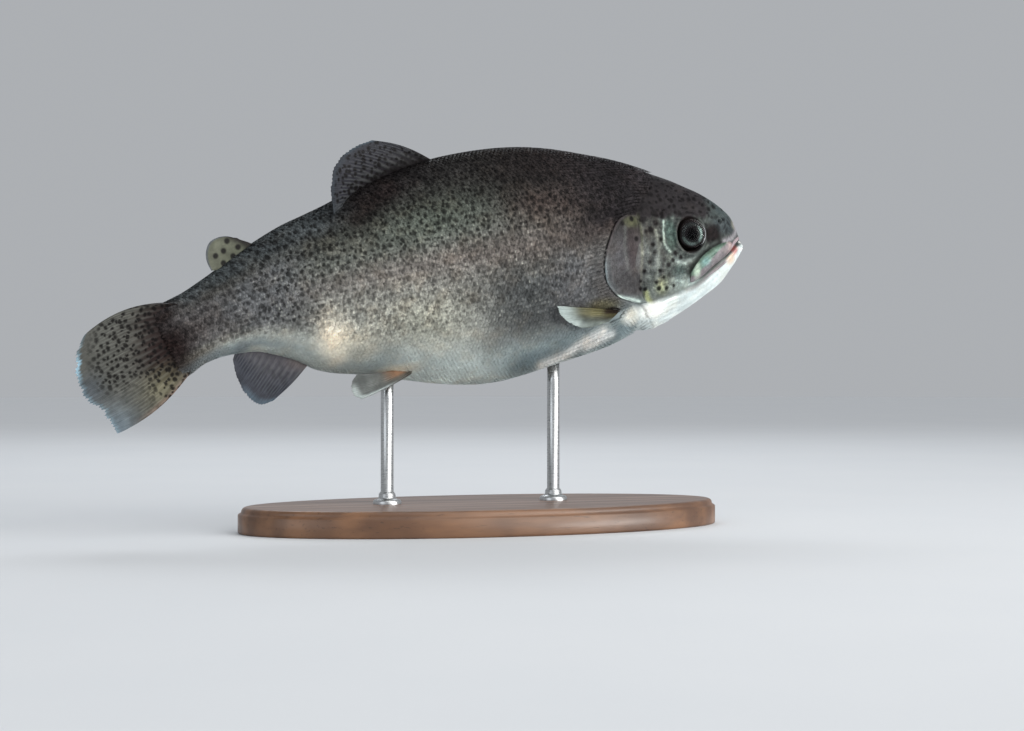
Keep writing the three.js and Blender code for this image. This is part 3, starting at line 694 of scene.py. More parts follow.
def flank_tint(s, z, share):
    """The body's ground colour: dark back, silver flank, brown shoulder, bluish belly."""
    levels = np.array([level for level, _ in SHADES])
    shades = np.array([linear(*shade) for _, shade in SHADES])
    paint = Paint(np.stack([np.interp(share, levels, shades[:, i]) for i in range(3)], 1))
    fore, shoulder = fall(s, 172, 60), fall(s, 120, 46)
    low = fall(share, 0.0, 0.3) * rise(share, -0.86, 0.3)
    paint((93, 91, 88), 0.88 * fore * hump(share, 0.0, 0.5))
    paint((54, 54, 52), 0.85 * fore * rise(share, 0.2, 0.3))
    paint((79, 82, 83), 0.94 * low * fall(s, 164, 44))
    paint((56, 50, 50), 0.92 * shoulder * rise(share, -0.3, 0.4))
    paint((89, 88, 88), 0.85 * shoulder * low)
    paint((112, 114, 117), 0.6 * low * hump(s, 95, 18))
    paint((35, 30, 30), 0.85 * fall(s, 156, 50) * rise(share, 0.45, 0.3))
    paint((84, 90, 92), 0.75 * rise(s, 188, 24) * rise(share, 0.6, 0.25))
    # painted shadow of the dorsal fin on the back, under the fin's rear half
    paint((40, 32, 31), 0.75 * streak(s, z, [(193, 29.5), (185, 34.5), (174, 40.5)], 4.6))
    paint((114, 130, 135), 0.94 * fall(s, 150, 34) * hump(share, -0.88, 0.32))
    paint((158, 167, 166), 0.9 * rise(s, 176, 20) * hump(share, -0.9, 0.4))
    paint((82, 62, 57), 0.45 * hump(s, 106, 32) * hump(share, 0.36, 0.34))
    paint((86, 98, 86), 0.4 * hump(s, 160, 46) * hump(share, 0.42, 0.34))
    paint((140, 122, 114), 0.22 * hump(share, 0.04, 0.2) * hump(s, 150, 100))
    paint((178, 178, 160), 0.5 * hump(s, 170, 34) * hump(share, -0.46, 0.34))
    # painted highlight: a cream pool of light on the lower flank before the anal fin, with a
    # fainter halo
    paint((255, 248, 230), 0.98 * blob(s, z, (214, -20.5), (7.4, 10), 0.9))
    paint((214, 207, 187), 0.5 * blob(s, z, (202, -25), (11, 7), 0.9))
    # painted highlight along the root of the pelvic fin
    paint((214, 202, 180), 0.7 * blob(s, z, (183, -42), (8, 2.6), 0.8))
    paint((104, 106, 109), 0.85 * rise(s, 208, 32) * rise(share, -0.66, 0.36)
          * fall(share, 0.8, 0.35))
    paint((90, 84, 82), 0.85 * rise(s, 252, 24) * hump(share, 0.1, 1.0))
    paint((112, 106, 96), 0.85 * rise(s, 262, 14) * fall(share, -0.35, 0.3))
    paint((122, 134, 140), 0.6 * rise(s, 228, 18) * fall(share, -0.6, 0.25))
    paint((190, 196, 190), 0.7 * rise(s, 214, 6) * fall(s, 258, 8) * fall(share, -0.76, 0.16))
    # painted highlight: bright white streaks, broken up, and a patch on the breast under the
    # pectoral fin
    torn = 0.76 + 0.24 * np.sin(1.9 * s + 1.3 * z) * np.sin(1.1 * s - 1.7 * z + 2)
    painted_highlight_line = [(77, -37.4), (83, -39.6), (88, -42), (95, -46), (108, -50)]
    paint((255, 255, 252), 0.98 * torn * streak(s, z, painted_highlight_line, 2.9))
    paint((252, 254, 252), 0.9 * torn * streak(s, z, [(72, -39), (77, -41), (84, -44)], 2.2))
    paint((238, 240, 232), 0.85 * blob(s, z, (61, -31), (5.5, 3.8), 0.6))
    paint((40, 30, 30), 0.8 * blob(s, z, (288, 14), (9, 5), 0.7))
    paint((42, 30, 29), 0.92 * blob(s, z, (291, -2.5), (12, 12), 0.6))
    return paint


def tint(lay, z, kind, height):
    """Colour of skin and scales in linear light, with the strength of the spots as alpha."""
    s, share = lay[:, 0], lay[:, 2]
    paint = flank_tint(s, z, share)
    low_spots = 0.6 + 0.16 * hump(s, 185, 60)
    spots = smooth((share + low_spots) / 0.3)
    spots = np.maximum(spots, rise(s, 225, 30) * rise(share, -0.8, 0.3))
    # no spots under the painted highlight on the lower flank
    spots *= 1 - 0.9 * blob(s, z, (214.5, -20.5), (6.0, 8.5), 0.9)
    spots *= 1 - 0.34 * fall(share, 0.3, 0.3) * fall(s, 250, 60)
    spots *= 1 - 0.25 * rise(s, 235, 20)

    # the head: dark above a wavy border, grey-green and silver below it
    head = fall(s, 60, 8) * (kind < SCALE)
    paint((64, 69, 67), head * 0.95 * rise(z, -27, 6))
    paint((106, 112, 108), head * 0.8 * fall(z, -11, 6) * rise(s, 34, 6))
    paint((60, 67, 70), head * 0.8 * fall(s, 19, 6) * rise(z, 3, 4))
    paint((124, 124, 110), head * 0.8 * blob(s, z, (2.6, 9.2), (1.6, 2.2), 0.7))
    snout_line = [(10.5, 1.4), (6, 2.6), (3, 4.6), (1.6, 7), (1.8, 9)]
    paint((136, 134, 138), head * 0.9 * streak(s, z, snout_line, 1.4))
    paint((56, 55, 53), head * 0.7 * blob(s, z, (50.5, 11), (5.5, 8), 0.4))
    border = 13.2 + 1.1 * np.sin(0.55 * s) + 0.7 * np.sin(1.7 * s + 1) - 2 * hump(s, 27, 12)
    nape = smooth((z - border) / 3.0) * rise(s, 12, 7) * fall(s, 100, 34)
    paint((40, 37, 39), 0.95 * nape * rise(share, -0.16, 0.2))
    paint((62, 72, 72), 0.6 * head * fall(s, 20, 8) * rise(z, 11, 4))
    paint((27, 24, 25), 0.45 * (kind == 0) * rise(s, 32, 14) * rise(z, 15, 3))
    paint((21, 16, 17), head * 0.97 * blob(s, z, (16.6, 4.8), (4.7, 5.5), 0.4))
    under_eye = [(40, -5.0), (35, -7.6), (29, -6.2), (23.6, -3.2), (19.0, -0.4), (14.6, 0.4)]
    paint((132, 142, 138), head * 0.75 * streak(s, z, under_eye, 1.2))
    paint((58, 69, 67), head * 0.75 * blob(s, z, (36.5, -12.5), (3.4, 5.0), 0.5))
    paint((100, 104, 102), head * 0.5 * blob(s, z, (50, -4), (4.5, 9), 0.8))
    paint((150, 154, 112), head * 0.45 * blob(s, z, (46, -17.8), (3.2, 3.4), 0.9))
    low_corner = [(54.8, -20.4), (53.6, -23.4), (51.4, -26)]
    paint((186, 192, 128), head * 0.6 * streak(s, z, low_corner, 1.3))
    paint((59, 71, 67), head * blob(s, z, (39.8, 6.6), (3.1, 7.6), 0.3))
    crescent = [(43.0, 13.4), (43.9, 8), (43.2, 1), (41, -1.6)]
    paint((154, 170, 162), 0.8 * head * streak(s, z, crescent, 0.6))
    paint((140, 141, 120), head * 0.65 * streak(s, z, COVER_FRONT[:6], 0.8))
    paint((56, 54, 52), head * 0.5 * streak(s, z, [(45.6, -1), (45.2, -7), (46.6, -14)], 1.2))
    paint((56, 54, 52), head * 0.5 * streak(s, z, [(52.4, 12), (51.6, 4), (52.4, -8)], 1.0))
    cheek_line = [(47.8, 9), (47.2, 0), (48.2, -9), (50.4, -16)]
    paint((124, 130, 122), head * 0.5 * streak(s, z, cheek_line, 0.8))
    paint((156, 170, 166), head * 0.7 * blob(s, z, (34, -17.4), (8, 3.6), 0.8))
    jaw = head * smooth((jaw_line(s) + 0.8 - z) / 4)
    paint((224, 235, 234), jaw)
    for line in ([(8, -13), (20, -23.4), (34, -30.4)], [(22, -19.5), (34, -24.6), (46, -28)],
                 [(14, -15), (24, -22), (36, -27)]):
        paint((178, 194, 196), jaw * 0.35 * streak(s, z, line, 1.0))
    paint((150, 150, 148), 0.7 * head * hump(jaw_line(s) - z, 0.6, 2.2)
          * rise(s, 8, 4) * fall(s, 34, 6))
    # painted highlight: a bright white patch on the throat below the gill cover
    paint((252, 253, 246), jaw * 0.95 * blob(s, z, (52, -28.4), (9, 4.4), 0.5))
    paint((166, 182, 186), jaw * 0.5 * rise(s, 44, 8) * fall(z, -33, 4))
    paint((214, 172, 130), jaw * 0.6 * blob(s, z, (6.4, -7.4), (2.8, 2.6), 0.7))
    spots *= 1 - np.clip(jaw * 1.4, 0, 1)
    spots *= 1 - (kind < SCALE) * smooth((border + 1 - z) / 1.5) * rise(s, 20, 4)
    # painted shade in the eye's socket and round its rim, with no spots there
    near_eye = orbit_reach(s, z)
    paint((28, 24, 25), head * fall(near_eye, 1.1, 0.16))
    spots *= 1 - head * fall(near_eye, 1.22, 0.1)

    # the gill cover's plates
    cover = (kind == COVER) * 1.0
    paint((70, 69, 70), cover * 0.96)
    paint((41, 40, 39), cover * 0.75 * rise(z, 3, 8))
    paint((50, 42, 43), cover * 0.8 * blob(s, z, (61.2, 1), (4.4, 9), 0.95))
    paint((72, 72, 75), cover * 0.6 * blob(s, z, (67.4, -1), (3.2, 9), 0.9))
    paint((58, 57, 58), cover * 0.75 * blob(s, z, (63.5, -14), (6, 4.5), 0.8))
    paint((92, 94, 92), cover * 0.5 * streak(s, z, [(64, 12), (65.2, 2), (64.6, -8)], 0.8))
    paint((88, 91, 66), cover * 0.6 * blob(s, z, (60, 14.4), (4, 2.4), 0.7))
    rim, _ = distance_to(s, z, GILL_EDGE, 60)
    low_rim = fall(z, 3, 9)
    paint((92, 97, 99), cover * 0.6 * fall(rim, 4.2, 4) * low_rim)
    paint((130, 144, 148), cover * 0.6 * fall(rim, 1.0, 1.2) * hump(z, -9, 9))
    paint((62, 57, 58), cover * 0.7 * fall(rim, 1.4, 1.6) * rise(z, -2, 6))
    paint((124, 134, 130), cover * 0.7 * fall(z, -19.8, 4.5))
    paint((190, 206, 200), cover * 0.8 * streak(s, z, [(70, -20.6), (64, -22.4), (58, -24)], 0.8))
    spots *= 1 - 0.6 * cover
    spots *= 1 - cover * fall(z, -13, 5)

    # the upper jaw's plate, green above and mauve below, and the lips
    plate_kind = (kind == MAXILLA) * 1.0
    split = z - course([(5.9, 0.4), (9.1, -1.4), (12.8, -3.6), (18.2, -8.2), (23.6, -12.7),
                        (27.5, -15.9)])(s)
    paint((124, 119, 122), plate_kind)
    paint((102, 122, 112), plate_kind * rise(split, 1.0, 1.4))
    # painted glint, cyan, on the middle of the plate
    paint((122, 158, 158), plate_kind * 0.6 * blob(s, z, (21.5, -7.5), (2.4, 2.2), 0.9))
    paint((176, 192, 176), plate_kind * 0.7 * blob(s, z, (26.4, -11.6), (1.6, 3.8), 0.7))
    # painted shade along the groove at the plate's upper edge
    green_line = [(10, 0.4), (16, -1.4), (21, -4.4), (25.5, -7.8)]
    paint((66, 84, 70), plate_kind * 0.7 * streak(s, z, green_line, 0.8))
    paint((160, 140, 138), plate_kind * fall(s, 10.5, 5))
    # painted shade in the groove above the plate, on the plate's edge and on the skin above it
    edge, _ = distance_to(s, z, MAXILLA_TOP, 60)
    fold = rise(s, 9, 5)
    paint((42, 52, 46), plate_kind * 0.85 * bell(edge, 0.8) * fold)
    paint((22, 26, 24), head * 0.97 * (kind == 0) * bell(edge, 2.2) * fold * rise(z, -16, 4))
    lips = (kind == UPPER_LIP) | (kind == LOWER_LIP)
    paint((160, 146, 150), (kind == UPPER_LIP) * 0.95)
    paint((226, 228, 226), (kind == LOWER_LIP) * 0.95)
    paint((134, 128, 130), (kind == LOWER_LIP) * rise(s, 7, 4))
    red = blob(s, z, (3.6, -3.4), (1.8, 2.0), 0.7)
    paint((222, 170, 128), (kind == LOWER_LIP) * 0.6 * blob(s, z, (6, -6.4), (3, 2), 0.8))
    paint((172, 76, 70), (lips | (kind == MAXILLA)) * 0.7 * red)
    paint((172, 76, 70), head * (kind == 0) * 0.6 * red)
    spots *= kind != MAXILLA
    spots *= ~lips

    # painted shade in sunk skin (socket, nostrils, hollows); inside the mouth red in front, mauve
    # behind
    mouth, _ = distance_to(s, z, MOUTH_LINE, 60)
    deep = smooth((-height - 1.0) / 0.9) * (kind == 0)
    paint((30, 25, 24), deep * (mouth > 3))
    paint((112, 56, 52), deep * (mouth <= 3) * fall(s, 8, 3))
    paint((104, 94, 96), deep * (mouth <= 3) * rise(s, 6, 3))
    for at_s, at_z, size in CHEEK_SPOTS:
        reach = (1.2 * size, 1.24 * size)
        paint((19, 17, 18), 0.95 * (kind < SCALE) * blob(s, z, (at_s, at_z), reach, 0.42))

    # olive skin round the root of the pectoral fin, with a painted shadow line above it
    root = blob(s, z, (78, -24.6), (8, 3.4), 0.7) * (kind != COVER) * (s > 62)
    paint((100, 96, 72), 0.8 * root)
    paint((126, 130, 84), 0.5 * streak(s, z, [(80, -27.6), (86, -27)], 1.2) * (s > 62))
    paint((22, 15, 14), 0.96 * streak(s, z, [(69, -26.9), (72, -26.0), (75, -26.1),
                                             (77.6, -27.2)], 0.85) * (kind != COVER))
    spots *= 1 - 0.7 * root
    paint.colour *= 1 + 0.3 * ((kind == SCALE) * fall(s, 66, 16) * rise(z, 12, 6))[:, None]
    return np.concatenate([paint.colour, spots[:, None]], 1)


def jaw_line(s):
    """Height under which the head is white, mm."""
    return course([(-4, 1.5), (4, -2.6), (10, -7.4), (18, -13.4), (26, -18.6), (34, -20.6),
                   (42, -22.6), (50, -24.6), (57, -25), (64, -27)])(s)


# ---- materials ---------------------------------------------------------------------------
WET = {"Coat_Weight": 0.03, "Coat_Roughness": 0.2, "Coat_IOR": 1.34}    # gloss of wet skin


class Graph:
    """A material's nodes, in few words."""

    def __init__(self, name, **constants):
        self.material = bpy.data.materials.new(name)
        self.material.use_nodes = True
        self.tree = self.material.node_tree
        self.tree.nodes.clear()
        self.shader = self.node("BsdfPrincipled")
        output = self.node("OutputMaterial")
        self.tree.links.new(self.shader.outputs[0], output.inputs[0])
        for socket, value in constants.items():
            self.shader.inputs[socket.replace("_", " ")].default_value = value

    def node(self, kind, **settings):
        node = self.tree.nodes.new("ShaderNode" + kind)
        for key, value in settings.items():
            setattr(node, key, value)
        return node

    def put(self, socket, value):
        if isinstance(value, bpy.types.NodeSocket):
            self.tree.links.new(value, socket)
        elif hasattr(socket.default_value, "__len__") and len(socket.default_value) == 4:
            socket.default_value = tuple(value)[:3] + (1.0,)
        else:
            socket.default_value = value

    def set(self, socket, value):
        self.put(self.shader.inputs[socket], value)

    def attribute(self, name):
        return self.node("Attribute", attribute_name=name)

    def parts(self, name):
        return self.split(self.attribute(name).outputs["Vector"])

    def split(self, vector):
        node = self.node("SeparateXYZ")
        self.put(node.inputs[0], vector)
        return node.outputs

    def join(self, x, y, z=0.0):
        node = self.node("CombineXYZ")
        for socket, value in zip(node.inputs, (x, y, z)):
            self.put(socket, value)
        return node.outputs[0]

    def math(self, operation, a, b=0.0, c=0.0):
        node = self.node("Math", operation=operation)
        for socket, value in zip(node.inputs, (a, b, c)):
            self.put(socket, value)
        return node.outputs[0]

    def times(self, a, b):
        return self.math("MULTIPLY", a, b)

    def plus(self, a, b):
        return self.math("ADD", a, b)

    def line(self, value, slope, start):
        return self.math("MULTIPLY_ADD", value, slope, start)

    def rest(self, share):
        return self.math("SUBTRACT", 1.0, share)

    def stretched(self, parts, x, y, z):
        """A place with each of its parts scaled."""
        return self.join(*(self.times(p, k) for p, k in zip(parts, (x, y, z))))

    def vectors(self, operation, a, b):
        node = self.node("VectorMath", operation=operation)
        self.put(node.inputs[0], a)
        self.put(node.inputs[1], b)
        return node.outputs[0]

    def ease(self, value, low, high, to_low=0.0, to_high=1.0):
        node = self.node("MapRange", interpolation_type="SMOOTHSTEP")
        for socket, number in zip(node.inputs, (value, low, high, to_low, to_high)):
            self.put(socket, number)
        return node.outputs[0]

    def mix(self, share, a, b, blend_type="MIX"):
        node = self.node("Mix", data_type="RGBA", blend_type=blend_type)
        self.put(node.inputs[0], share)
        self.put(node.inputs[6], a)
        self.put(node.inputs[7], b)
        return node.outputs[2]

    def tinted(self, colour, factor):
        return self.mix(1.0, colour, factor, "MULTIPLY")

    def dimmed(self, colour, factor):
        return self.tinted(colour, self.join(factor, factor, factor))

    def noise(self, place, scale, detail=2.0, rough=0.5, colour=False):
        node = self.node("TexNoise")
        self.put(node.inputs["Vector"], place)
        node.inputs["Scale"].default_value = scale
        node.inputs["Detail"].default_value = detail
        node.inputs["Roughness"].default_value = rough
        return node.outputs["Color" if colour else "Fac"]

    def cells(self, place, scale=1.0, dimensions="2D"):
        node = self.node("TexVoronoi", voronoi_dimensions=dimensions)
        self.put(node.inputs["Vector"], place)
        node.inputs["Scale"].default_value = scale
        return node

    def wave(self, place, scale, distortion, **settings):
        node = self.node("TexWave", **settings)
        self.put(node.inputs["Vector"], place)
        node.inputs["Scale"].default_value = scale
        node.inputs["Distortion"].default_value = distortion
        return node.outputs["Fac"]

    def bump(self, height, strength, distance, under=None):
        node = self.node("Bump")
        node.inputs["Strength"].default_value = strength
        node.inputs["Distance"].default_value = distance
        self.put(node.inputs["Height"], height)
        if under is not None:
            self.put(node.inputs["Normal"], under)
        return node.outputs[0]


def scatter(g, along, around, apart, size, seed, rough=1.2):
    """Mask of scattered marks: apart and size are (along, around) in mm."""
    place = g.join(g.math("DIVIDE", along, apart[0]), g.math("DIVIDE", around, apart[1]))
    shifted = g.vectors("ADD", place, (seed, seed * 0.37, 0))
    wobble = g.node("VectorMath", operation="SCALE")
    g.put(wobble.inputs[0], g.noise(place, 1.7, 2.0, 0.6, colour=True))
    wobble.inputs[3].default_value = 0.4
    moved = g.vectors("ADD", shifted, wobble.outputs[0])
    cell = g.cells(moved)
    cell.inputs["Randomness"].default_value = 0.85
    dx, dy, _ = g.split(g.vectors("SUBTRACT", moved, cell.outputs["Position"]))
    chance, tall, lean = g.split(cell.outputs["Color"])
    dx = g.plus(dx, g.times(dy, g.line(lean, 0.7, -0.35)))
    dx = g.times(dx, apart[0] / size[0])
    dy = g.times(dy, apart[1] / size[1])
    dy = g.math("DIVIDE", dy, g.line(tall, 0.75, 0.6))
    reach = g.math("SQRT", g.plus(g.times(dx, dx), g.times(dy, dy)))
    radius = g.line(chance, 0.6, 0.64)
    reach = g.math("DIVIDE", reach, radius)
    ragged = g.noise(g.join(g.times(along, 0.9), g.times(around, 0.9), seed), 1.0, 3.0, 0.75)
    reach = g.plus(reach, g.line(ragged, rough, -0.5 * rough))
    return g.ease(reach, 1.5, 0.45)


def markings(g):
    """The colour of skin and scales alike, and the mask of the dark spots."""
    base = g.attribute("tint")
    along, around, share = g.parts("lay")
    place = g.join(along, around, g.times(share, 9.0))
    broad = g.ease(g.noise(place, 0.075, 3.0, 0.55), 0.3, 0.7, 0.84, 1.14)
    fine = g.ease(g.noise(place, 0.5, 4.0, 0.7), 0.25, 0.75, 0.68, 1.32)
    calm = g.ease(share, -0.45, -0.85, 0.0, 0.7)
    fine = g.plus(fine, g.times(calm, g.rest(fine)))
    colour = g.dimmed(g.dimmed(base.outputs["Color"], broad), fine)
    warm = g.ease(g.noise(place, 0.12, 2.0, 0.5), 0.45, 0.7, 0.0, 0.3)
    colour = g.mix(warm, colour, g.tinted(colour, (1.16, 1.0, 0.86)))
    on_head = g.ease(along, 64.0, 54.0)
    dashes = scatter(g, along, around, (3.0, 3.2), (0.95, 1.2), 3.1, 0.9)
    pepper = scatter(g, along, around, (2.1, 2.2), (0.42, 0.5), 29.0)
    round_marks = scatter(g, along, around, (3.4, 3.4), (1.02, 1.02), 17.7, 0.5)
    dashes = g.times(g.math("MAXIMUM", dashes, g.times(pepper, 0.5)), 0.92)
    marks = g.plus(g.times(dashes, g.rest(on_head)), g.times(round_marks, on_head))
    marks = g.times(marks, base.outputs["Alpha"])
    colour = g.mix(g.times(marks, 0.84), colour, linear(12, 10, 11))
    return colour, marks, place, along, share


def skin_material():
    g = Graph("trout_skin", Specular_IOR_Level=0.04, **WET)
    colour, marks, _, along, share = markings(g)
    straight = g.attribute("straight").outputs["Vector"]
    blotch = g.noise(straight, 0.42, 4.0, 0.7)
    cheek = g.times(g.ease(share, 0.15, -0.05), g.ease(share, -0.74, -0.62))
    cheek = g.times(cheek, g.ease(along, 58.0, 55.0, 0.25, 1.0))
    cheek = g.times(cheek, g.ease(along, 26.0, 34.0, 0.3, 1.0))
    pale = g.times(g.ease(blotch, 0.5, 0.62, 0.0, 0.8), cheek)
    colour = g.mix(pale, colour, g.tinted(colour, (1.9, 1.92, 1.82)))
    dull = g.times(g.ease(blotch, 0.48, 0.36, 0.0, 0.8), cheek)
    colour = g.mix(dull, colour, g.tinted(colour, (0.5, 0.5, 0.49)))
    pore = g.ease(g.cells(straight, 0.85, "3D").outputs["Distance"], 0.0, 0.45)
    colour = g.mix(g.line(pore, -0.12, 0.12), colour, linear(60, 54, 48))
    g.set("Base Color", colour)
    grain = g.noise(straight, 1.6, 4.0, 0.65)
    g.set("Roughness", g.ease(grain, 0.3, 0.7, 0.3, 0.5))
    silver = g.ease(share, 0.3, -0.2, 0.0, 0.25)
    g.set("Metallic", g.times(silver, g.rest(marks)))
    g.set("Normal", g.bump(g.plus(grain, g.times(pore, 0.5)), 0.35, 0.0005))
    return g.material


def scale_material():
    g = Graph("trout_scales", Specular_IOR_Level=0.05, **WET)
    colour, marks, place, along, share = markings(g)
    luck, out, across = g.parts("tone")
    side = g.times(g.ease(g.math("ABSOLUTE", across), 0.25, 0.9), g.ease(out, 0.2, 0.5))
    rim = g.math("MAXIMUM", g.ease(out, 0.72, 1.0), g.times(side, 0.85))
    flesh = g.times(g.ease(out, 0.25, 0.5), g.rest(rim))
    plain = g.ease(share, -0.4, -0.75)
    chance = g.ease(luck, 0.0, 1.0, 0.8, 1.22)
    chance = g.plus(chance, g.times(plain, g.rest(chance)))
    colour = g.dimmed(colour, chance)
    lighter = g.tinted(colour, (1.5, 1.48, 1.43))
    darker = g.tinted(colour, (0.46, 0.45, 0.44))
    fleck = g.times(flesh, g.ease(luck, 0.1, 0.9, 0.1, 1.0))
    fleck = g.times(fleck, g.line(plain, -0.8, 1.0))
    colour = g.mix(fleck, colour, lighter)
    dim = g.times(rim, g.ease(share, -0.8, -0.3, 0.06, 0.8))
    colour = g.mix(dim, colour, darker)
    # painted glints: some scales on the mid flank painted near white, where light glints off them
    zone = g.ease(g.noise(place, 0.11, 2.0, 0.6), 0.42, 0.62, 0.15, 1.0)
    painted_glint = g.times(g.ease(luck, 0.72, 0.98), g.times(flesh, zone))
    painted_glint = g.times(painted_glint, g.ease(share, 0.62, 0.15))
    painted_glint = g.times(painted_glint, g.ease(along, 90.0, 132.0, 0.12, 1.0))
    painted_glint = g.times(painted_glint, g.ease(along, 262.0, 236.0, 0.1, 1.0))
    painted_glint = g.times(painted_glint, g.rest(marks))
    colour = g.mix(g.times(painted_glint, 0.62), colour, linear(196, 197, 186))
    g.set("Base Color", colour)
    rings = g.wave(g.join(out, across), 2.4, 1.0, wave_type="RINGS", rings_direction="SPHERICAL")
    g.set("Roughness", g.ease(luck, 0.0, 1.0, 0.46, 0.3))
    silver = g.ease(share, 0.5, -0.2, 0.02, 0.32)
    g.set("Metallic", g.times(silver, g.rest(marks)))
    grain = g.noise(place, 3.0, 2.0, 0.6)
    height = g.plus(g.times(rings, 0.5), grain)
    g.set("Normal", g.bump(height, 0.25, 0.0003))
    return g.material


# ---- the eyes ----------------------------------------------------------------------------
EYE_DEEP = 10.9        # how far the eye's middle lies from the fish's midline, mm
EYE_TILT = 12          # degrees that the eye looks forward
PUPIL, IRIS, BALL = 2.5, 6.6, 8.5


def eye_surface(radii, depths, count, side):
    """A shape turned round the eye's axis: radius and depth outwards, in mm."""
    turn = np.arange(count) * 2 * math.pi / count
    r, d = np.asarray(radii)[:, None], np.asarray(depths)[:, None]
    a = -r * np.cos(turn) * 0.94
    b = r * np.sin(turn) * (1.0 + 0.02 * np.sin(turn))
    tilt = math.radians(EYE_TILT)
    s = EYE[0] + a * math.cos(tilt) - d * math.sin(tilt)
    y = EYE_DEEP + d * math.cos(tilt) - a * math.sin(tilt)
    z = EYE[1] + b + 0 * d
    return np.stack([s, y * side, z], -1), turn


def capped(points):
    """Points and faces of rings that close to a point at their first row."""
    rows, count = points.shape[:2]
    i = np.arange(count)
    fan = np.stack([0 * i, 1 + i, 1 + (i + 1) % count], 1)
    flat = np.concatenate([points[0].mean(0, keepdims=True), points.reshape(-1, 3)])
    return flat, [fan, grid_faces(rows, count, True, 1)]


def build_eye(label, side, ball_material, cornea_material):
    """A ball with a raised lens and a dished iris, and a clear cornea over it."""
    radii = np.concatenate([np.linspace(0.25, PUPIL, 9), np.linspace(PUPIL + 0.12, IRIS, 26),
                            np.linspace(IRIS + 0.12, BALL, 8)])
    lens = 5.25 + 0.75 * np.sqrt(np.clip(1 - (radii / (PUPIL * 1.06)) ** 2, 0, 1))
    iris = (4.95 - 0.5 * (np.maximum(radii - PUPIL, 0) / (IRIS - PUPIL)) ** 1.5
            + 0.14 * bell(radii - PUPIL - 0.3, 0.25))
    rim = 4.45 - 4.6 * (np.maximum(radii - IRIS, 0) / (BALL - IRIS)) ** 1.2
    depths = np.where(radii <= PUPIL, lens, np.where(radii <= IRIS, iris, rim))
    points, turn = eye_surface(radii, depths, 96, side)
    flat, faces = capped(points)
    place = np.zeros((len(flat), 3))
    place[1:, 0] = np.repeat(radii, len(turn))
    place[1:, 1] = np.tile(turn, len(radii))
    ball = make_mesh("eyeball_" + label, pose(flat), faces, lay=place, material=ball_material)
    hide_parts("eye_" + label)
    reach = np.linspace(0.02, 1, 18)
    dome = 7.05 - 2.1 * reach ** 2 - 0.55 * reach ** 6
    flat, faces = capped(eye_surface(reach * 7.2, dome, 64, side)[0])
    cornea = make_mesh("cornea_" + label, pose(flat), faces, material=cornea_material)


def eye_material():
    g = Graph("trout_eye", Roughness=0.5, Specular_IOR_Level=0.05)
    radius, turn, _ = g.parts("lay")
    forward, upward = g.math("COSINE", turn), g.math("SINE", turn)
    fibres = g.noise(g.stretched((forward, upward, radius), 3.5, 3.5, 0.35), 3.2, 4.0, 0.7)
    mottle = g.noise(g.join(g.times(forward, radius), g.times(upward, radius)), 0.9, 4.0, 0.7)
    loose = g.line(mottle, 0.9, -0.45)
    # painted highlight: the iris is painted lighter at its front and bottom, where light falls; its
    # top stays dark
    front_arc = g.ease(g.plus(forward, loose), 0.55, 0.95)
    low_arc = g.plus(g.times(forward, -0.45), g.times(upward, -0.9))
    low_arc = g.ease(g.plus(low_arc, loose), 0.5, 0.95, 0.0, 0.42)
    painted_lit_arcs = g.math("MAXIMUM", front_arc, low_arc)
    outer = g.mix(painted_lit_arcs, linear(32, 29, 31), linear(54, 56, 56))
    outer = g.mix(g.ease(mottle, 0.46, 0.66, 0.0, 0.7), outer, linear(27, 23, 26))
    ring = g.times(g.ease(radius, PUPIL + 1.3, PUPIL + 2.0),
                   g.ease(radius, PUPIL + 3.4, PUPIL + 2.6))
    ring = g.times(ring, g.line(painted_lit_arcs, 0.92, 0.08))
    colour = g.mix(ring, outer, g.mix(g.ease(fibres, 0.35, 0.65), linear(88, 106, 102),
                                      linear(144, 164, 158)))
    colour = g.mix(g.ease(radius, 5.8, 6.5), colour, linear(28, 23, 23))
    colour = g.mix(g.ease(radius, PUPIL + 0.9, PUPIL - 0.2), colour, linear(4, 4, 5))
    g.set("Base Color", colour)
    iris = g.times(g.ease(radius, PUPIL, PUPIL + 0.3), g.ease(radius, 6.0, 5.2))
    g.set("Metallic", g.times(iris, 0.4))
    g.set("Normal", g.bump(fibres, 0.3, 0.0004))
    return g.material


def cornea_material():
    g = Graph("trout_cornea", Transmission_Weight=1.0, IOR=1.16)
    g.set("Base Color", (0.97, 0.98, 0.97))
    smear = g.noise(g.node("TexCoord").outputs["Object"], 260.0, 2.0, 0.5)
    g.set("Roughness", g.ease(smear, 0.35, 0.75, 0.0, 0.02))
    return g.material


# ---- the scales --------------------------------------------------------------------------
WIDE_ANGLE = np.radians(np.linspace(-35, 215, 251))
WIDE_S = np.arange(30, BODY_END + 1.0)
WIDE_GIRTH = girths(WIDE_S, WIDE_ANGLE)
for row, line_angle in zip(WIDE_GIRTH, np.interp(WIDE_S, GIRTH_S, LINE_ANGLE)):
    row -= np.interp(line_angle, WIDE_ANGLE, row)
GIRTH_STEPS = np.arange(-100, 100.5, 0.5)
ANGLE_OF = np.array([np.interp(-GIRTH_STEPS, row, WIDE_ANGLE) for row in WIDE_GIRTH])


def angle_at(s, girth):
    """Angle round the body at a girth from the lateral line, past the ridges too."""
    return looked_up(ANGLE_OF, s - WIDE_S[0], (girth - GIRTH_STEPS[0]) * 2)


COAT_START = [(-60, 58), (-44, 57), (-36, 57), (-30.5, 57.5), (-26, 62), (-23.6, 66),
              (-21, 70.6), (-17.8, 73.6), (-13.7, 76.0), (-5, 76.5), (4.2, 74.2), (8.6, 72.2),
              (13, 69.6), (16.2, 66.0), (18, 60), (24, 53), (30, 47), (38, 41), (60, 38)]


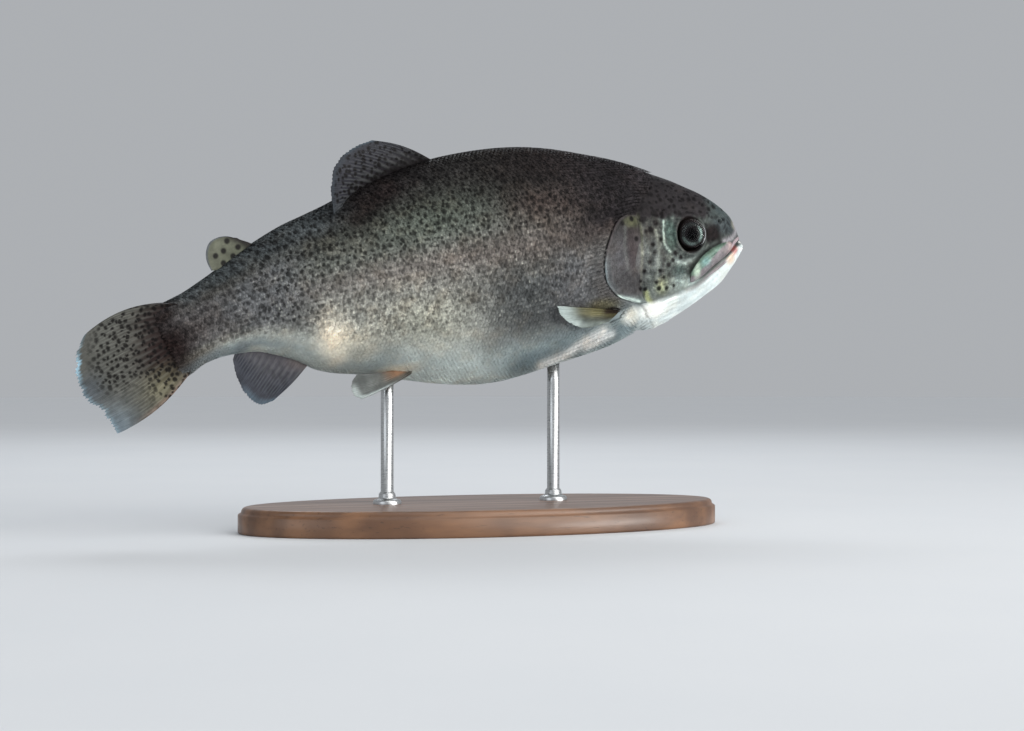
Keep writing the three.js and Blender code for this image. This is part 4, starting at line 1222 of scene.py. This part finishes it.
def scale_roots():
    """Where each scale grows: (s, girth), its length along the body and its width."""
    columns = [36.0]
    while columns[-1] < 287.5:
        at = columns[-1]
        columns.append(at + np.interp(at, [46, 90, 220, 287], [1.35, 1.9, 1.85, 1.4]))
    columns = np.array(columns)
    step = np.gradient(columns)
    roots = []
    for row in range(-52, 46):
        at = columns + (0.5 * step if row % 2 else 0)
        wide = np.interp(at, [46, 90, 200, 287], [1.6, 1.95, 1.95, 1.4])
        girth = row * wide * (1 - 0.0022 * abs(row))
        angle = angle_at(at, girth)
        place = section(at, angle)
        start = np.interp(place[:, 2], *np.array(COAT_START).T)
        start += np.where(place[:, 2] > 17, rng.uniform(-2.2, 2.2, len(at)), 0)
        keep = (at > start) & (angle > -0.5 * wide / 30) & (angle < math.pi + 0.015)
        keep &= np.hypot((place[:, 0] - 71.5) / 5.2, (place[:, 2] + 29.4) / 3.4) > 1
        grown = smooth((at - start) / 13) * fall(at, 296, 14)
        small = 0.5 + 0.5 * grown
        roots.append(np.stack([at, girth, step * 1.75 * small, wide * 1.2 * small,
                               np.full(len(at), row == 0), grown], 1)[keep])
    return np.concatenate(roots)


SCALE_ALONG = np.array([0.0, 0.38, 0.66, 0.87, 1.0])
SCALE_ACROSS = np.array([-1.0, -0.55, 0.0, 0.55, 1.0])
SKIRT_DEPTH = -0.62    # how deep the skirt of a scale's free edge goes, mm
PATCH_HALF = 0.0013    # half the size of a scale's patch in the bake map


def build_scales(label, roots, side, material):
    """One joined mesh of scales: each is a small shell with a rounded free edge."""
    n = len(roots)
    t = SCALE_ALONG[None, :, None]
    w = SCALE_ACROSS[None, None, :]
    s0, g0, length, wide = (roots[:, i, None, None] for i in range(4))
    on_line, grown = roots[:, 4, None, None], roots[:, 5, None, None]
    size = rng.normal(1, 0.05, (n, 1, 1))
    lean = rng.normal(0, 0.06, (n, 1, 1))
    luck = rng.random((n, 1, 1))
    raised = (0.42 + 0.045 * rng.normal(0, 1, (n, 1, 1))) * (0.55 + 0.45 * grown)
    roll = rng.normal(0, 0.035, (n, 1, 1))
    from_ridge = angle_at(roots[:, 0], roots[:, 1])[:, None, None]
    raised = raised * (0.55 + 0.45 * rise(from_ridge, 0.02, 0.16))
    round_off = np.sqrt(np.clip(1 - np.clip((t - 0.42) / 0.6, 0, 1) ** 2.4, 0, 1))
    bow = 1 - 0.1 * w ** 2 * t
    ds = length * size * t * bow
    dg = wide * size * 0.5 * w * round_off + lean * length * t
    lift = -0.58 - 0.12 * (1 - grown) + raised * t ** 0.8 * 1.12 + roll * w - 0.05 * w ** 2
    lift = lift + on_line * 0.1 * bell(w, 0.35) * np.sin(np.pi * np.clip(t, 0, 0.95))
    s = s0 + ds - 0.15
    girth = g0 + dg

    # a skirt goes down from the free edge
    def rim_of(grid):
        return np.concatenate([grid[:, 1:, 0], grid[:, -1, 1:-1], grid[:, :0:-1, -1]], 1)
    rim_s = rim_of(s)
    s = np.concatenate([s.reshape(n, -1), rim_s - 0.03], 1)
    girth = np.concatenate([girth.reshape(n, -1), rim_of(girth)], 1)
    lift = np.concatenate([lift.reshape(n, -1), np.full(rim_s.shape, SKIRT_DEPTH)], 1)
    angle = angle_at(s, girth)
    here = section(s, angle)
    along = section(s + 0.4, angle) - section(s - 0.4, angle)
    around = section(s, angle + 0.01) - section(s, angle - 0.01)
    points = here + units(np.cross(around, along)) * lift[..., None]
    points[..., 1] *= side
    lay = lay_of(here.reshape(-1, 3), girth.ravel())
    rows, columns = len(SCALE_ALONG), len(SCALE_ACROSS)
    grid = rows * columns
    rim_count = rim_s.shape[1]
    flat_out, flat_across = np.repeat(SCALE_ALONG, columns), np.tile(SCALE_ACROSS, rows)
    out = np.tile(np.concatenate([flat_out, np.ones(rim_count)]), (n, 1))
    across = np.tile(np.concatenate([flat_across, np.ones(rim_count)]), (n, 1))
    edge_shown = 0.55 + 0.45 * grown[:, 0]
    tone = np.stack([np.broadcast_to(luck[:, 0] * edge_shown, s.shape), out * edge_shown,
                     across * edge_shown], -1).reshape(-1, 3)
    top = grid_faces(rows, columns)
    ring = np.concatenate([np.arange(1, rows) * columns,
                           (rows - 1) * columns + np.arange(1, columns - 1),
                           np.arange(rows - 1, 0, -1) * columns + columns - 1])
    low = grid + np.arange(rim_count)
    skirt = np.stack([ring[:-1], ring[1:], low[1:], low[:-1]], 1)
    faces = np.concatenate([top, skirt])
    faces = (faces[None] + (np.arange(n) * s.shape[1])[:, None, None]).reshape(-1, 4)
    if side < 0:
        faces = faces[:, ::-1]
    # each scale is a small patch of the bake map at its root, its skirt round the outside
    u0, v0 = skin_uv(roots[:, 0], roots[:, 1], side)
    patch_out = np.concatenate([flat_out, SCALE_ALONG[1:], [1.16] * (columns - 2),
                                SCALE_ALONG[:0:-1]])
    patch_across = np.concatenate([flat_across, [-1.3] * (rows - 1), SCALE_ACROSS[1:-1],
                                   [1.3] * (rows - 1)])
    uv = np.stack([u0[:, None] + 2 * PATCH_HALF * (patch_out - 0.5),
                   v0[:, None] + PATCH_HALF * patch_across], -1)
    none = np.zeros(len(lay))
    piece = make_mesh("scales_" + label, pose(points.reshape(-1, 3)), [faces], lay=lay, tone=tone,
                      uv=uv.reshape(-1, 2), material=material,
                      colour=tint(lay, here[..., 2].ravel(), none + SCALE, none))


def build_coat(material):
    """All the scales, in three pieces on each side."""
    roots = scale_roots()
    for side, which in ((1, "right"), (-1, "left")):
        for name, low, high in (("front", 0, 128), ("middle", 128, 178), ("rear", 178, 300)):
            some = roots[(roots[:, 0] >= low) & (roots[:, 0] < high)]
            build_scales(f"{name}_{which}", some, side, material)


# ---- the fins ----------------------------------------------------------------------------
PECTORAL_ROOT = [(70.4, 18.8, -27.2), (71.8, 18.4, -28.8), (73.4, 17.6, -30.4), (75, 16.8, -32)]
PECTORAL_EDGE = [(104.4, 28.4, -21.4), (104, 28.2, -24.4), (101, 27.4, -27.8),
                 (96.6, 26.2, -31.2), (91.6, 24.6, -33.2), (86.6, 22.8, -34)]
PELVIC_ROOT = [(173.8, 9.8, -43.8), (176.4, 9.6, -43.6), (179.2, 9.2, -43.2), (182, 8.6, -42.8)]
PELVIC_EDGE = [(207.6, 19, -50.2), (211, 17.2, -48.2), (210.8, 15, -45), (208.6, 13, -42.2),
               (205, 11.4, -40.2)]
PELVIC_FOLDED = [(s, y + 2.4, z + 8 + 0.5 * (y - 5)) for s, y, z in PELVIC_EDGE]
FINS = {
    "dorsal": dict(
        root=[(146, 0, 49), (160, 0, 47), (176, 0, 43), (192, 0, 38.4)],
        edge=[(177.8, 5, 64.2), (185, 6.5, 63), (192.2, 8.5, 60), (198, 10, 55.6),
              (201.4, 11.6, 49.6), (203.2, 13.4, 42), (203.6, 15.4, 34.6)],
        bow=(0, 0, 2.6), rays=12, thick=1.8, thin=0.7),
    "adipose": dict(
        root=[(235.4, 0, 26.4), (243.4, 0, 24), (251.4, 0, 21)],
        edge=[(243.6, 0.2, 32.4), (247.6, 0.4, 35), (251.4, 0.7, 35.8), (255.4, 1, 35),
              (258.2, 1.3, 31.6), (259.2, 1.4, 27.2), (258.6, 1.3, 22.8)],
        bow=(0, 0, 0.3), rays=0, thick=2.6, thin=1.2),
    "tail": dict(
        root=[(276, 0, 14.6), (281.5, 0, 8), (283, 0, 0.4), (281.5, 0, -7.2), (278, 0, -12)],
        edge=[(319, 0.4, 22.2), (324.4, 0.7, 19.2), (328.8, 0.5, 13.4), (331.8, 0.2, 6.8),
              (332.4, 0, 1.2), (332.6, -0.4, -3.8), (329.2, -0.8, -8.6), (328.8, -0.8, -15),
              (327.6, -0.4, -22.8)],
        bow=(0, 0, 0), flare=4.6, rays=17, thick=3.4, thin=0.7),
    "anal": dict(
        root=[(221, 0, -29.5), (233, 0, -23.4), (245, 0, -17.4), (257, 0, -13.6)],
        edge=[(247.6, -1, -43.6), (253, -1, -44), (258.2, -0.8, -41.4), (261.6, -0.4, -36.6),
              (263, 0, -30.4), (263, 0, -24.4), (262, 0, -18.6)],
        bow=(0, 0, -1.4), rays=11, thick=1.8, thin=0.7),
    "pelvic_right": dict(root=PELVIC_ROOT, edge=PELVIC_EDGE, bow=(0, 0.4, -1.4), rays=9,
                         thick=2, thin=0.7),
    "pelvic_left": dict(root=PELVIC_ROOT, edge=PELVIC_FOLDED, bow=(0, 2.2, -1), rays=9,
                        thick=2, thin=0.7, side=-1),
    "pectoral_right": dict(root=PECTORAL_ROOT, edge=PECTORAL_EDGE, bow=(0, 1.6, 0), rays=10,
                           thick=2, thin=0.7),
    "pectoral_left": dict(root=PECTORAL_ROOT, edge=PECTORAL_EDGE, bow=(0, 1.6, 0), rays=10,
                          thick=2, thin=0.7, side=-1),
}


def ray_ridges(u, v, rays):
    """Height of the fin rays, 0 to 1: each one forks half way out and again near its end."""
    def ridges(count):
        wave = np.abs(((u * count) % 1.0) - 0.5) * 2
        return np.clip(1 - wave / 0.62, 0, 1) ** 0.8
    first, second = rise(v, 0.34, 0.2), rise(v, 0.68, 0.16)
    return (ridges(rays) * (1 - first) + ridges(rays * 2) * first * (1 - second) * 0.8
            + ridges(rays * 4) * second * 0.55)


def build_fin(label, material, root, edge, bow, rays, thick, thin, flare=0.0, side=1):
    """A web ruled from its root to its edge, with rays, a frayed edge and a stout leading ray."""
    across, out = max(rays * 12, 60) + 1, 44
    u = np.linspace(0, 1, across)[None, :]
    v = np.linspace(-0.03, 1, out)[:, None]
    fray = rng.random(across // 6 + 2)
    ragged = np.interp(np.arange(across) / 6, np.arange(len(fray)), fray)
    notch = np.abs(np.cos(math.pi * rays * 2 * u[0]))
    frayed = (rays > 0) * (0.018 * notch + 0.03 * ragged ** 2)
    reach = v * (1 - frayed * smooth(np.minimum(u[0], 1 - u[0]) / 0.08))[None, :]
    a, b = path(root, across), path(edge, across)
    middle = a[None] * (1 - reach[..., None]) + b[None] * reach[..., None]
    swell = (1 - u) * np.sin(math.pi * np.clip(reach, 0, 1))
    middle = middle + np.array(bow) * swell[..., None]
    middle[..., 2] += flare * (1 - 2 * u) * np.sin(math.pi * np.clip(reach, 0, 1)) ** 0.85
    wave = 0.35 * np.sin(u * 9 + v * 4) * smooth(v / 0.5) * (rays > 0)
    normal = units(np.cross(np.gradient(middle, axis=1), np.gradient(middle, axis=0)))
    middle = middle + normal * wave[..., None]
    ridge = ray_ridges(u, np.clip(v, 0, 1), rays) if rays else np.zeros((out, across))
    stout = 1 + 1.1 * bell(u, 0.05) * (rays > 0)
    ridge = ridge * rise(v, 0.1, 0.3)
    half = (thin + (thick - thin) * np.clip(1 - reach, 0, 1) ** 1.6) * 0.42 * stout
    half = half * (0.86 + 0.14 * ridge) + 0.1 * ridge * (1 - 0.4 * v)
    if flare:
        half = half + 1.1 * fall(middle[..., 0], 302, 16)
    border = np.minimum(np.minimum(u / 0.02, (1 - u) / 0.02), (1 - v) / 0.03 + 0 * u)
    half = half * (0.3 + 0.7 * np.sqrt(np.clip(border, 0, 1)))
    right, left = middle + normal * half[..., None], middle - normal * half[..., None]
    points = np.concatenate([right.reshape(-1, 3), left.reshape(-1, 3)])
    count = out * across
    front_faces = grid_faces(out, across)
    rear_faces = grid_faces(out, across, False, count)[:, ::-1]
    rim = np.concatenate([np.arange(out) * across, (out - 1) * across + np.arange(1, across),
                          np.arange(out - 2, -1, -1) * across + across - 1,
                          np.arange(across - 2, 0, -1)])
    after = np.roll(rim, -1)
    band = np.stack([after, rim, rim + count, after + count], 1)
    points[:, 1] *= side
    faces = np.concatenate([front_faces, rear_faces, band])
    if side < 0:
        faces = faces[:, ::-1]
    length = np.linalg.norm(b - a, axis=1)[None, :] * reach
    paired = abs(root[0][1]) > 1
    spread = middle[..., 2] + middle[..., 1] * (0.8 if paired else 0)
    lay = np.stack([middle[..., 0], spread, length], -1).reshape(-1, 3)
    u, v = np.broadcast_to(u, reach.shape), np.broadcast_to(v, reach.shape)
    tone = np.stack([v, ridge, u * max(rays, 1)], -1).reshape(-1, 3)
    colour = fin_tint(label, u.ravel(), v.ravel(), middle[..., 0].ravel(), middle[..., 2].ravel())
    piece = make_mesh("fin_" + label + "_web", pose(points), [faces],
                      lay=np.tile(lay, (2, 1)), tone=np.tile(tone, (2, 1)), material=material,
                      colour=np.tile(colour, (2, 1)))
    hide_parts("fin_" + label)


ADIPOSE_SPOTS = [(251, 29.3), (255, 28.4), (252.6, 24.2), (247.6, 25.7), (248.3, 33), (244.4, 28.9)]


def fin_tint(label, u, v, s, z):
    """Colour of a fin over its width u and length v, with its spots' strength as alpha."""
    kind = label.split("_")[0]
    base, tip, rim = {
        "dorsal": ((34, 31, 32), (48, 48, 54), (70, 84, 94)),
        "adipose": ((98, 101, 86), (100, 102, 88), (92, 98, 112)),
        "tail": ((66, 60, 54), (88, 88, 83), (160, 196, 214)),
        "anal": ((88, 86, 90), (60, 62, 70), (88, 104, 116)),
        "pelvic": ((94, 90, 81), (98, 101, 99), (186, 196, 194)),
        "pectoral": ((70, 66, 46), (92, 98, 92), (150, 164, 168)),
    }[kind]
    v = np.clip(v, 0, 1)
    paint = Paint(np.broadcast_to(linear(*base), (len(u), 3)))
    paint(tip, smooth(v / 0.75))
    if kind == "tail":
        shades = [(44, 41, 39), (56, 52, 50), (64, 58, 56), (84, 78, 74), (110, 106, 98)]
        start = np.array([linear(*shade) for shade in shades])
        start = np.stack([np.interp(u, np.linspace(0, 1, 5), start[:, i]) for i in range(3)], 1)
        paint.over(start, fall(v, 0.4, 0.34))
    margin = rise(v, 0.84, 0.14)
    spots = np.zeros(len(u))
    if kind == "dorsal":
        spots = fall(v, 0.99, 0.1) * fall(u, 1.04, 0.16)
        paint((22, 19, 20), 0.8 * fall(v, 0.42, 0.4))
        paint(rim, 0.7 * rise(v, 0.94, 0.06) * fall(u, 0.45, 0.3))
        paint(rim, 0.2 * margin)
        paint((66, 71, 72), 0.4 * rise(u, 0.8, 0.2))
    elif kind == "tail":
        spots = fall(v, 0.96, 0.22) * (1 - 0.85 * rise(u, 0.56, 0.2) * rise(v, 0.4, 0.25))
        paint((42, 30, 29), 0.92 * blob(s, z, (291, -2.5), (12, 12), 0.6))
        paint((40, 30, 30), 0.8 * blob(s, z, (288, 14), (9, 5), 0.7))
        paint((122, 117, 92), 0.6 * hump(u, 0.88, 0.3) * hump(v, 0.4, 0.34))
        paint((112, 126, 136), 0.7 * rise(v, 0.66, 0.3) * rise(u, 0.6, 0.35))
        paint((76, 84, 92), 0.7 * rise(v, 0.7, 0.25) * hump(u, 0.55, 0.25))
        paint(rim, 0.95 * rise(v, 0.95, 0.04) * hump(u, 0.3, 0.16))
        paint((150, 122, 110), 0.6 * rise(u, 0.94, 0.06) * hump(v, 0.4, 0.5))
        paint(rim, 0.25 * rise(v, 0.95, 0.05))
    elif kind == "anal":
        spots = 0.3 * hump(u, 0.3, 0.3) * hump(v, 0.4, 0.3)
        paint((150, 136, 128), 0.5 * fall(v, 0.34, 0.3) * fall(u, 0.4, 0.3))
        paint(rim, 0.8 * margin * fall(u, 0.7, 0.3))
    elif kind == "pelvic":
        paint((140, 104, 78), 0.8 * fall(v, 0.5, 0.3) * rise(u, 0.15, 0.3))
        paint(rim, 0.8 * fall(u, 0.16, 0.14) * rise(v, 0.3, 0.3))
        paint(rim, 0.7 * margin * fall(u, 0.7, 0.4))
    elif kind == "pectoral":
        paint((124, 134, 130), 0.6 * rise(u, 0.45, 0.4))
        paint((104, 98, 62), 0.8 * fall(u, 0.5, 0.35) * hump(v, 0.4, 0.55))
        # painted shadow along the leading edge at the fin's root, where it meets the body
        paint((32, 21, 18), 0.92 * fall(u, 0.34, 0.2) * fall(v, 0.3, 0.12))
        paint((190, 204, 200), 0.8 * rise(v, 0.62, 0.35) * fall(u, 0.9, 0.5))
    else:
        paint((34, 31, 31), 0.95 * fall(u, 0.36, 0.24))
        paint((66, 72, 70), 0.6 * fall(v, 0.3, 0.2) * rise(u, 0.4, 0.2))
        paint(rim, 0.6 * rise(v, 0.93, 0.06))
        for place in ADIPOSE_SPOTS:
            paint((18, 16, 16), 0.95 * blob(s, z, place, (1.25, 1.35), 0.35))
    return np.concatenate([paint.colour, spots[:, None]], 1)


def fin_material(name, apart, size, seed):
    g = Graph(name, Specular_IOR_Level=0.05, Coat_Weight=0.03, Coat_Roughness=0.25, Coat_IOR=1.34)
    base = g.attribute("tint")
    wide, tall, long = g.parts("lay")
    _, ridge, strand = g.parts("tone")
    place = g.join(wide, tall)
    broad = g.ease(g.noise(place, 0.16, 3.0, 0.6), 0.3, 0.7, 0.82, 1.16)
    colour = g.dimmed(base.outputs["Color"], broad)
    streaks = g.noise(g.join(g.times(strand, 4.0), g.times(long, 0.12)), 1.0, 3.0, 0.65)
    colour = g.dimmed(colour, g.ease(streaks, 0.3, 0.7, 0.82, 1.15))
    uneven = g.ease(g.noise(place, 0.22, 3.0, 0.6), 0.35, 0.65, 0.25, 1.0)
    dip = g.times(g.line(ridge, -0.5, 0.5), uneven)
    colour = g.mix(dip, colour, g.tinted(colour, (0.5, 0.5, 0.52)))
    colour = g.mix(g.times(ridge, 0.1), colour, linear(160, 166, 160))
    marks = scatter(g, wide, tall, apart, size, seed)
    marks = g.times(marks, base.outputs["Alpha"])
    colour = g.mix(g.times(marks, 0.9), colour, linear(17, 15, 15))
    g.set("Base Color", colour)
    joints = g.wave(g.join(0.0, g.times(long, 0.55)), 1.0, 0.6, bands_direction="Y")
    height = g.times(joints, g.times(ridge, 0.6))
    grain = g.noise(place, 1.8, 3.0, 0.6)
    g.set("Roughness", g.ease(grain, 0.3, 0.7, 0.34, 0.55))
    g.set("Normal", g.bump(g.plus(height, g.times(grain, 0.5)), 0.3, 0.0003))
    return g.material


# ---- the display stand -------------------------------------------------------------------
BASE_SIZE = (0.118, 0.056, 0.012)      # half length, half width and height, metres
ROD_RADIUS = 0.003
RODS = ("front", "rear")


def turned(name, rings, count, material):
    """A mesh of level oval rings (x, y, z, half length, half width), capped at both ends."""
    turn = np.arange(count) * 2 * math.pi / count
    points = np.stack([np.stack([x + long * np.cos(turn), y + wide * np.sin(turn),
                                 z + 0 * turn], 1) for x, y, z, long, wide in rings])
    n = len(rings)
    flat = np.concatenate([points.reshape(-1, 3), points[:1].mean(1), points[-1:].mean(1)])
    i = np.arange(count)
    low = np.stack([(i + 1) % count, i, np.full(count, n * count)], 1)
    top = (n - 1) * count
    high = np.stack([top + i, top + (i + 1) % count, np.full(count, n * count + 1)], 1)
    return make_mesh(name, flat, [np.concatenate([low, high]), grid_faces(n, count, True)],
                     material=material)


def build_stand(wood, steel):
    """The oval base with a rounded upper edge, and the rods with a collar at the foot."""
    half_long, half_wide, high = BASE_SIZE
    profile = [(0.0, 0.0006), (0.0005, 0.0001), (0.0012, 0.0), (0.0084, 0.0), (0.0089, 0.0004),
               (0.0093, 0.0012), (0.0099, 0.0016)]
    profile += [(0.0099 + 0.0021 * math.sin(a), 0.0016 + 0.0024 * (1 - math.cos(a)))
                for a in np.linspace(0.15, math.pi / 2, 9)]
    profile += [(high, 0.008), (high, 0.02), (high, 0.04)]
    base = turned("stand_base_oval", [(0, 0, z, half_long - inset, half_wide - inset)
                                      for z, inset in profile], 160, wood)
    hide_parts("stand_base")
    for label in RODS:
        low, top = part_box("stand_rod_" + label)
        x, y = (low[0] + top[0]) / 2, (low[1] + top[1]) / 2
        r = ROD_RADIUS
        foot = high - 0.001
        collar = [(foot, 2.2 * r), (foot + 0.0022, 2.2 * r), (foot + 0.0030, 2.0 * r),
                  (foot + 0.0034, 1.5 * r), (foot + 0.0040, 1.35 * r), (foot + 0.0056, 1.3 * r),
                  (foot + 0.0064, 1.1 * r)]
        stem = [(foot + 0.0066, r), (top[2] - 0.010, r), (top[2] - 0.0004, r)]
        rings = [(x, y, z, radius, radius) for z, radius in [(low[2], r)] + collar + stem]
        rod = turned("stand_post_" + label, rings, 48, steel)
        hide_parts("stand_rod_" + label)


def wood_material():
    g = Graph("walnut", Coat_Weight=0.25, Coat_Roughness=0.2)
    parts = g.split(g.node("TexCoord").outputs["Object"])
    figure = g.noise(g.stretched(parts, 9.0, 90.0, 90.0), 0.9, 4.0, 0.6)
    bands = g.node("TexWave", bands_direction="Y")
    g.put(bands.inputs["Vector"], g.join(g.times(parts[0], 1.4), parts[1], parts[2]))
    bands.inputs["Scale"].default_value = 26.0
    bands.inputs["Distortion"].default_value = 3.4
    bands.inputs["Detail"].default_value = 2.0
    bands.inputs["Detail Scale"].default_value = 1.1
    colour = g.mix(g.ease(bands.outputs["Fac"], 0.0, 1.0), linear(100, 69, 46),
                   linear(122, 86, 58))
    colour = g.mix(g.ease(figure, 0.35, 0.7, 0.0, 0.75), colour, linear(78, 52, 35))
    pore = g.noise(g.stretched(parts, 60.0, 900.0, 900.0), 1.0, 2.0, 0.6)
    pore = g.ease(pore, 0.6, 0.72)
    colour = g.mix(g.times(pore, 0.5), colour, linear(48, 32, 23))
    g.set("Base Color", colour)
    g.set("Roughness", g.ease(figure, 0.3, 0.7, 0.36, 0.5))
    g.set("Normal", g.bump(g.rest(pore), 0.25, 0.0002))
    return g.material


def steel_material():
    g = Graph("brushed_steel", Metallic=1.0)
    parts = g.split(g.node("TexCoord").outputs["Object"])
    brush = g.noise(g.stretched(parts, 220.0, 220.0, 3600.0), 1.0, 3.0, 0.6)
    g.set("Base Color", g.mix(brush, linear(168, 170, 172), linear(206, 207, 206)))
    g.set("Roughness", g.ease(brush, 0.3, 0.7, 0.24, 0.4))
    g.set("Normal", g.bump(brush, 0.03, 0.00005))
    return g.material


# ---- floor, lights and camera ------------------------------------------------------------
FLOOR_RADIUS, FLOOR_SIDES = 4, 96
# name, place, target, size in metres; power in watts; colour; spread in degrees
LAMPS = [
    ("key", (0.65, -0.95, 0.6), (0.0, 0, 0.12), (1.3, 1.0), 5.15, (1.0, 0.98, 0.95), 120),
    ("fill", (-1.1, -0.7, 0.5), (0, 0, 0.12), (0.9, 0.7), 1.13, (0.9, 0.95, 1.0), 120),
    ("rim", (0.25, 0.9, 0.95), (0, 0, 0.16), (0.9, 0.35), 4, (0.92, 0.96, 1.0), 180),
    ("low", (0.75, -0.75, 0.13), (0.06, 0, 0.11), (0.6, 0.22), 2.25, (1.0, 0.99, 0.97), 120)]
SUN_POWER, SUN_SOFTNESS, SUN_LEAN = 0.8, 50, (22, 14)
SKY, SKY_POWER = (0.80, 0.83, 0.87, 1), 0.52
CAMERA_PLACE = (-0.3108, -0.8924, 0.07674)
CAMERA_LENS, CAMERA_SENSOR = 70, 36


def place_in_scene(name, data):
    holder = bpy.data.objects.new(name, data)
    bpy.context.scene.collection.objects.link(holder)
    return holder


def build_floor():
    g = Graph("floor", Roughness=0.7)
    speck = g.noise(g.node("TexCoord").outputs["Object"], 9.0, 3.0, 0.5)
    g.set("Base Color", g.mix(speck, linear(205, 208, 211), linear(211, 213, 215)))
    turn = np.arange(FLOOR_SIDES) * 2 * math.pi / FLOOR_SIDES
    ring = np.stack([FLOOR_RADIUS * np.cos(turn), FLOOR_RADIUS * np.sin(turn), 0 * turn], 1)
    mesh = bpy.data.meshes.new("floor")
    mesh.from_pydata([(0, 0, 0)] + ring.tolist(), [],
                     [(0, 1 + i, 1 + (i + 1) % FLOOR_SIDES) for i in range(FLOOR_SIDES)])
    mesh.materials.append(g.material)
    floor = place_in_scene("floor", mesh)


def build_lights():
    for name, place, target, size, power, colour, spread in LAMPS:
        lamp = bpy.data.lights.new(name, "AREA")
        lamp.spread = math.radians(spread)
        lamp.shape = "RECTANGLE"
        lamp.size, lamp.size_y = size
        lamp.energy = power
        lamp.color = colour
        holder = place_in_scene(name, lamp)
        holder.location = place
        way = np.array(target) - np.array(place)
        holder.rotation_euler = (math.atan2(math.hypot(way[0], way[1]), -way[2]), 0,
                                 math.atan2(way[1], way[0]) - math.pi / 2)
    sun = bpy.data.lights.new("overhead", "SUN")
    sun.energy = SUN_POWER
    sun.angle = math.radians(SUN_SOFTNESS)
    place_in_scene("overhead", sun).rotation_euler = (*np.radians(SUN_LEAN), 0)
    world = bpy.data.worlds.new("studio")
    world.use_nodes = True
    sky = world.node_tree.nodes["Background"]
    sky.inputs[0].default_value = SKY
    sky.inputs[1].default_value = SKY_POWER
    bpy.context.scene.world = world
    bpy.context.scene.view_settings.view_transform = "Standard"


def build_camera():
    lens = bpy.data.cameras.new("camera")
    lens.lens = CAMERA_LENS
    lens.sensor_width = CAMERA_SENSOR
    lens.clip_start, lens.clip_end = 0.05, 20
    camera = place_in_scene("camera", lens)
    camera.location = CAMERA_PLACE
    camera.rotation_euler = (math.radians(90), 0, math.radians(TURN))
    bpy.context.scene.camera = camera


build_floor()
build_lights()
build_camera()
build_skin(skin_material())
eye_look, cornea_look = eye_material(), cornea_material()
build_eye("right", 1, eye_look, cornea_look)
build_eye("left", -1, eye_look, cornea_look)
build_coat(scale_material())
fin_look = fin_material("trout_fins", (2.5, 2.7), (0.88, 0.92), 5.3)
plain_fin_look = fin_material("trout_small_fins", (4.2, 4.2), (1.25, 1.25), 9.1)
for fin_name, fin in FINS.items():
    spotted = fin_name in ("dorsal", "tail")
    build_fin(fin_name, fin_look if spotted else plain_fin_look, **fin)
build_stand(wood_material(), steel_material())
